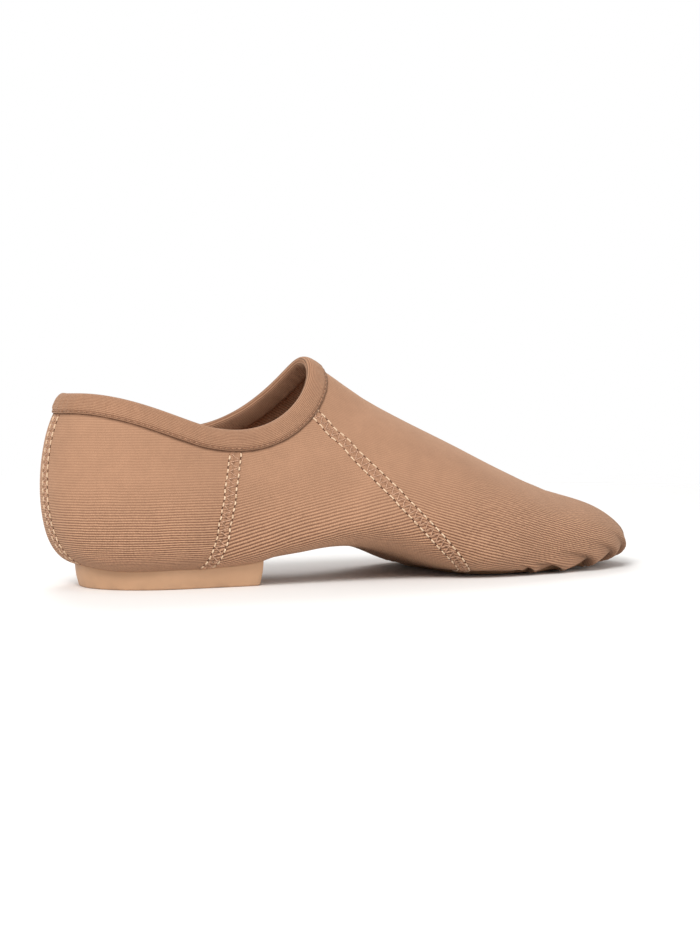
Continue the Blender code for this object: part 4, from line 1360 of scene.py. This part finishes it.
# Stitches of the band: how far down and out they lie, then pitch, length, radius and lift.
BAND_STITCH, BAND_GROOVE, BAND_SEWN = 6.3, 0.6, (2.3, 1.75, 0.2, 0.1)
BAND_LINE_STEPS = 1200
# Added to the way down on the inner face, so that the outer face's seam and edge don't show on it.
BAND_INSIDE = 20.0
# Row number at which a place below the collar is first looked for, how often it is set right, its limits.
BELOW_FIRST, BELOW_TIMES, BELOW_LIMITS = 0.3, 4, (0.0005, 3.0)
LEAST_DOWN, LEAST_GONE = 0.01, 1e-9


def row_below_collar(down, angle):
    """Row numbers that lie a number of mm down the wall from the collar: a first guess, set right a few
    times by the distance it gives."""
    row = np.full(angle.shape, BELOW_FIRST)
    edge = ring_points(np.zeros_like(angle), angle)
    for again in range(BELOW_TIMES):
        gone = np.linalg.norm(ring_points(row, angle) - edge, axis=-1)
        row = np.clip(row * np.maximum(down, LEAST_DOWN) * MM / np.maximum(gone, LEAST_GONE), *BELOW_LIMITS)
    return row


def band_places(down, out, angle):
    """Points of the band and their normals: down the canvas from the edge, then out along its normal, or
    straight up above the edge."""
    points, slope, turn, normal = bare_wall(row_below_collar(down, angle), angle)
    above = np.maximum(-down, 0) * MM
    return points + normal * (out * MM)[..., None] - unit(slope) * above[..., None], normal


def build_binding(material):
    """Band carried round the collar: its section is a closed cubic curve, with small waves where the edge
    is drawn in."""
    walked = way_along(BAND_SECTION)
    section = spline(walked, BAND_SECTION, np.linspace(0, walked[-1], BAND_STEPS + 1))[:-1]
    angle = turns(BAND_COLUMNS, -np.pi)
    down, around = np.meshgrid(section[:, 0], angle, indexing="ij")
    out = np.broadcast_to(section[:, 1:], down.shape)
    wave = BAND_WAVE * np.sin(around * BAND_WAVES[0]) * np.sin(around * BAND_WAVES[1] + 1.0)
    wave *= smooth(*BAND_WAVE_START, down)
    points, normal = band_places(down, out + wave * np.sign(out - BAND_MIDDLE), around)
    quads = grid_quads(BAND_STEPS, BAND_COLUMNS, True)
    piece = make_piece("collar_band", points, quads, NO_TRIANGLES, (material,))
    edge = ring_points(np.zeros_like(angle), angle)
    round_collar = np.cumsum(np.linalg.norm(np.diff(edge, axis=0, append=edge[:1]), axis=1)) / MM
    outside = np.where(out > BAND_MIDDLE, down, down + BAND_INSIDE)
    add_field(piece, "band", np.stack((np.broadcast_to(round_collar, down.shape), outside, out), axis=-1))
    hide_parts("collar_binding")


def band_stitches():
    """Stitches in the groove near the band's lower edge, all round the collar."""
    angle = np.linspace(-np.pi, np.pi, BAND_LINE_STEPS)
    points, normal = band_places(np.full_like(angle, BAND_STITCH), np.full_like(angle, BAND_GROOVE), angle)
    return stitches(points, normal, *BAND_SEWN)


# Pieces, with the pitch and length in mm of each seam's stitches
pale_thread = thread_finish("pale_thread", PALE_THREAD)
build_upper(canvas_finish(), lining_finish())
build_heel(rubber_finish())
build_patch(suede_finish())
build_insole(sock_finish())
build_binding(binding_finish())
seam_rows = []
for name, lines, pitch, length in (
        ("back_seam_thread", [BACK_LINE], 2.9, 2.2),
        ("side_seam_thread", SIDE_LINES, 2.4, 1.8),
        ("front_seam_thread", FRONT_LINES, 3.3, 2.55)):
    rows = [row for line in lines for row in double_rows(line, pitch, length)]
    build_thread(name, rows, pale_thread)
    seam_rows += rows
crossing = [cross_threads(line) for line in [BACK_LINE] + SIDE_LINES + FRONT_LINES]
build_thread("seam_cross_thread", crossing, thread_finish("cross_thread", CROSS_THREAD))
# Dark domes of painted shade in the needle holes of the seams.
build_hole_shades("seam_hole_shade_domes", seam_rows, hole_shade_finish())
build_thread("patch_seam_thread", [patch_stitches()], thread_finish("patch_thread", PATCH_THREAD))
build_thread("collar_band_thread", [band_stitches()], thread_finish("band_thread", BAND_THREAD))

# Stage: a pale floor that fades out around the shoe, and an even pale surround
FLOOR_REACH = 6.0
FLOOR_FADE = (0.30, 0.85)
SKY_LIGHT, SKY_SEEN = 0.5, 1.0
floor_mesh = bpy.data.meshes.new("floor")
floor_corners = [(x * FLOOR_REACH, y * FLOOR_REACH, 0.0) for x, y in ((-1, -1), (1, -1), (1, 1), (-1, 1))]
floor_mesh.from_pydata(floor_corners, [], [(0, 1, 2, 3)])
floor_net = Finish("pale_floor", 0.6)
floor_net.shader.inputs["Base Color"].default_value = FLOOR_PAINT
from_middle = {0: floor_net.object_place()}
far = floor_net.add("ShaderNodeVectorMath", from_middle, operation="LENGTH").outputs["Value"]
clear = floor_net.add("ShaderNodeBsdfTransparent").outputs[0]
fade = {0: floor_net.between(far, *FLOOR_FADE), 1: floor_net.shader.outputs[0], 2: clear}
faded = floor_net.add("ShaderNodeMixShader", fade).outputs[0]
floor_net.tree.links.new(faded, floor_net.tree.nodes["Material Output"].inputs["Surface"])
floor_mesh.materials.append(floor_net.material)
floor = bpy.data.objects.new("floor", floor_mesh)
bpy.context.scene.collection.objects.link(floor)

world = bpy.data.worlds.new("studio")
world.use_nodes = True
bpy.context.scene.world = world
sky = Net(world.node_tree)
backdrop = world.node_tree.nodes["Background"]
seen = sky.add("ShaderNodeLightPath").outputs["Is Camera Ray"]
world.node_tree.links.new(sky.blend(seen, SKY_LIGHT, SKY_SEEN), backdrop.inputs["Strength"])
backdrop.inputs["Color"].default_value = WHITE

# Lights and camera
LIT_POINT = Vector((0, 0, 0.03))
CAMERA_AIM = Vector((0.0, 0.0, 0.040))
CAMERA_TURN, CAMERA_RISE, CAMERA_AWAY, CAMERA_LENS = 62.0, 2.5, 0.82, 85.0


def soft_light(name, place, power, size):
    """Square light that faces the shoe."""
    lamp = bpy.data.lights.new(name, "AREA")
    lamp.energy = power
    lamp.size = size
    light = bpy.data.objects.new(name, lamp)
    light.location = place
    light.rotation_euler = (LIT_POINT - Vector(place)).to_track_quat("-Z", "Y").to_euler()
    bpy.context.scene.collection.objects.link(light)


soft_light("key", (0.9, -1.1, 1.3), 31.0, 0.8)
soft_light("fill", (1.4, 0.9, 0.7), 8.0, 1.2)
soft_light("rim", (-1.2, 0.4, 1.1), 9.0, 0.8)

turn, rise = np.radians((CAMERA_TURN, CAMERA_RISE))
back = Vector((np.sin(turn) * np.cos(rise), -np.cos(turn) * np.cos(rise), np.sin(rise)))
lens = bpy.data.cameras.new("camera")
lens.lens = CAMERA_LENS
camera = bpy.data.objects.new("camera", lens)
camera.location = CAMERA_AIM + back * CAMERA_AWAY
camera.rotation_euler = (-back).to_track_quat("-Z", "Y").to_euler()
bpy.context.scene.collection.objects.link(camera)
bpy.context.scene.camera = camera
bpy.context.scene.view_settings.view_transform = "Standard"
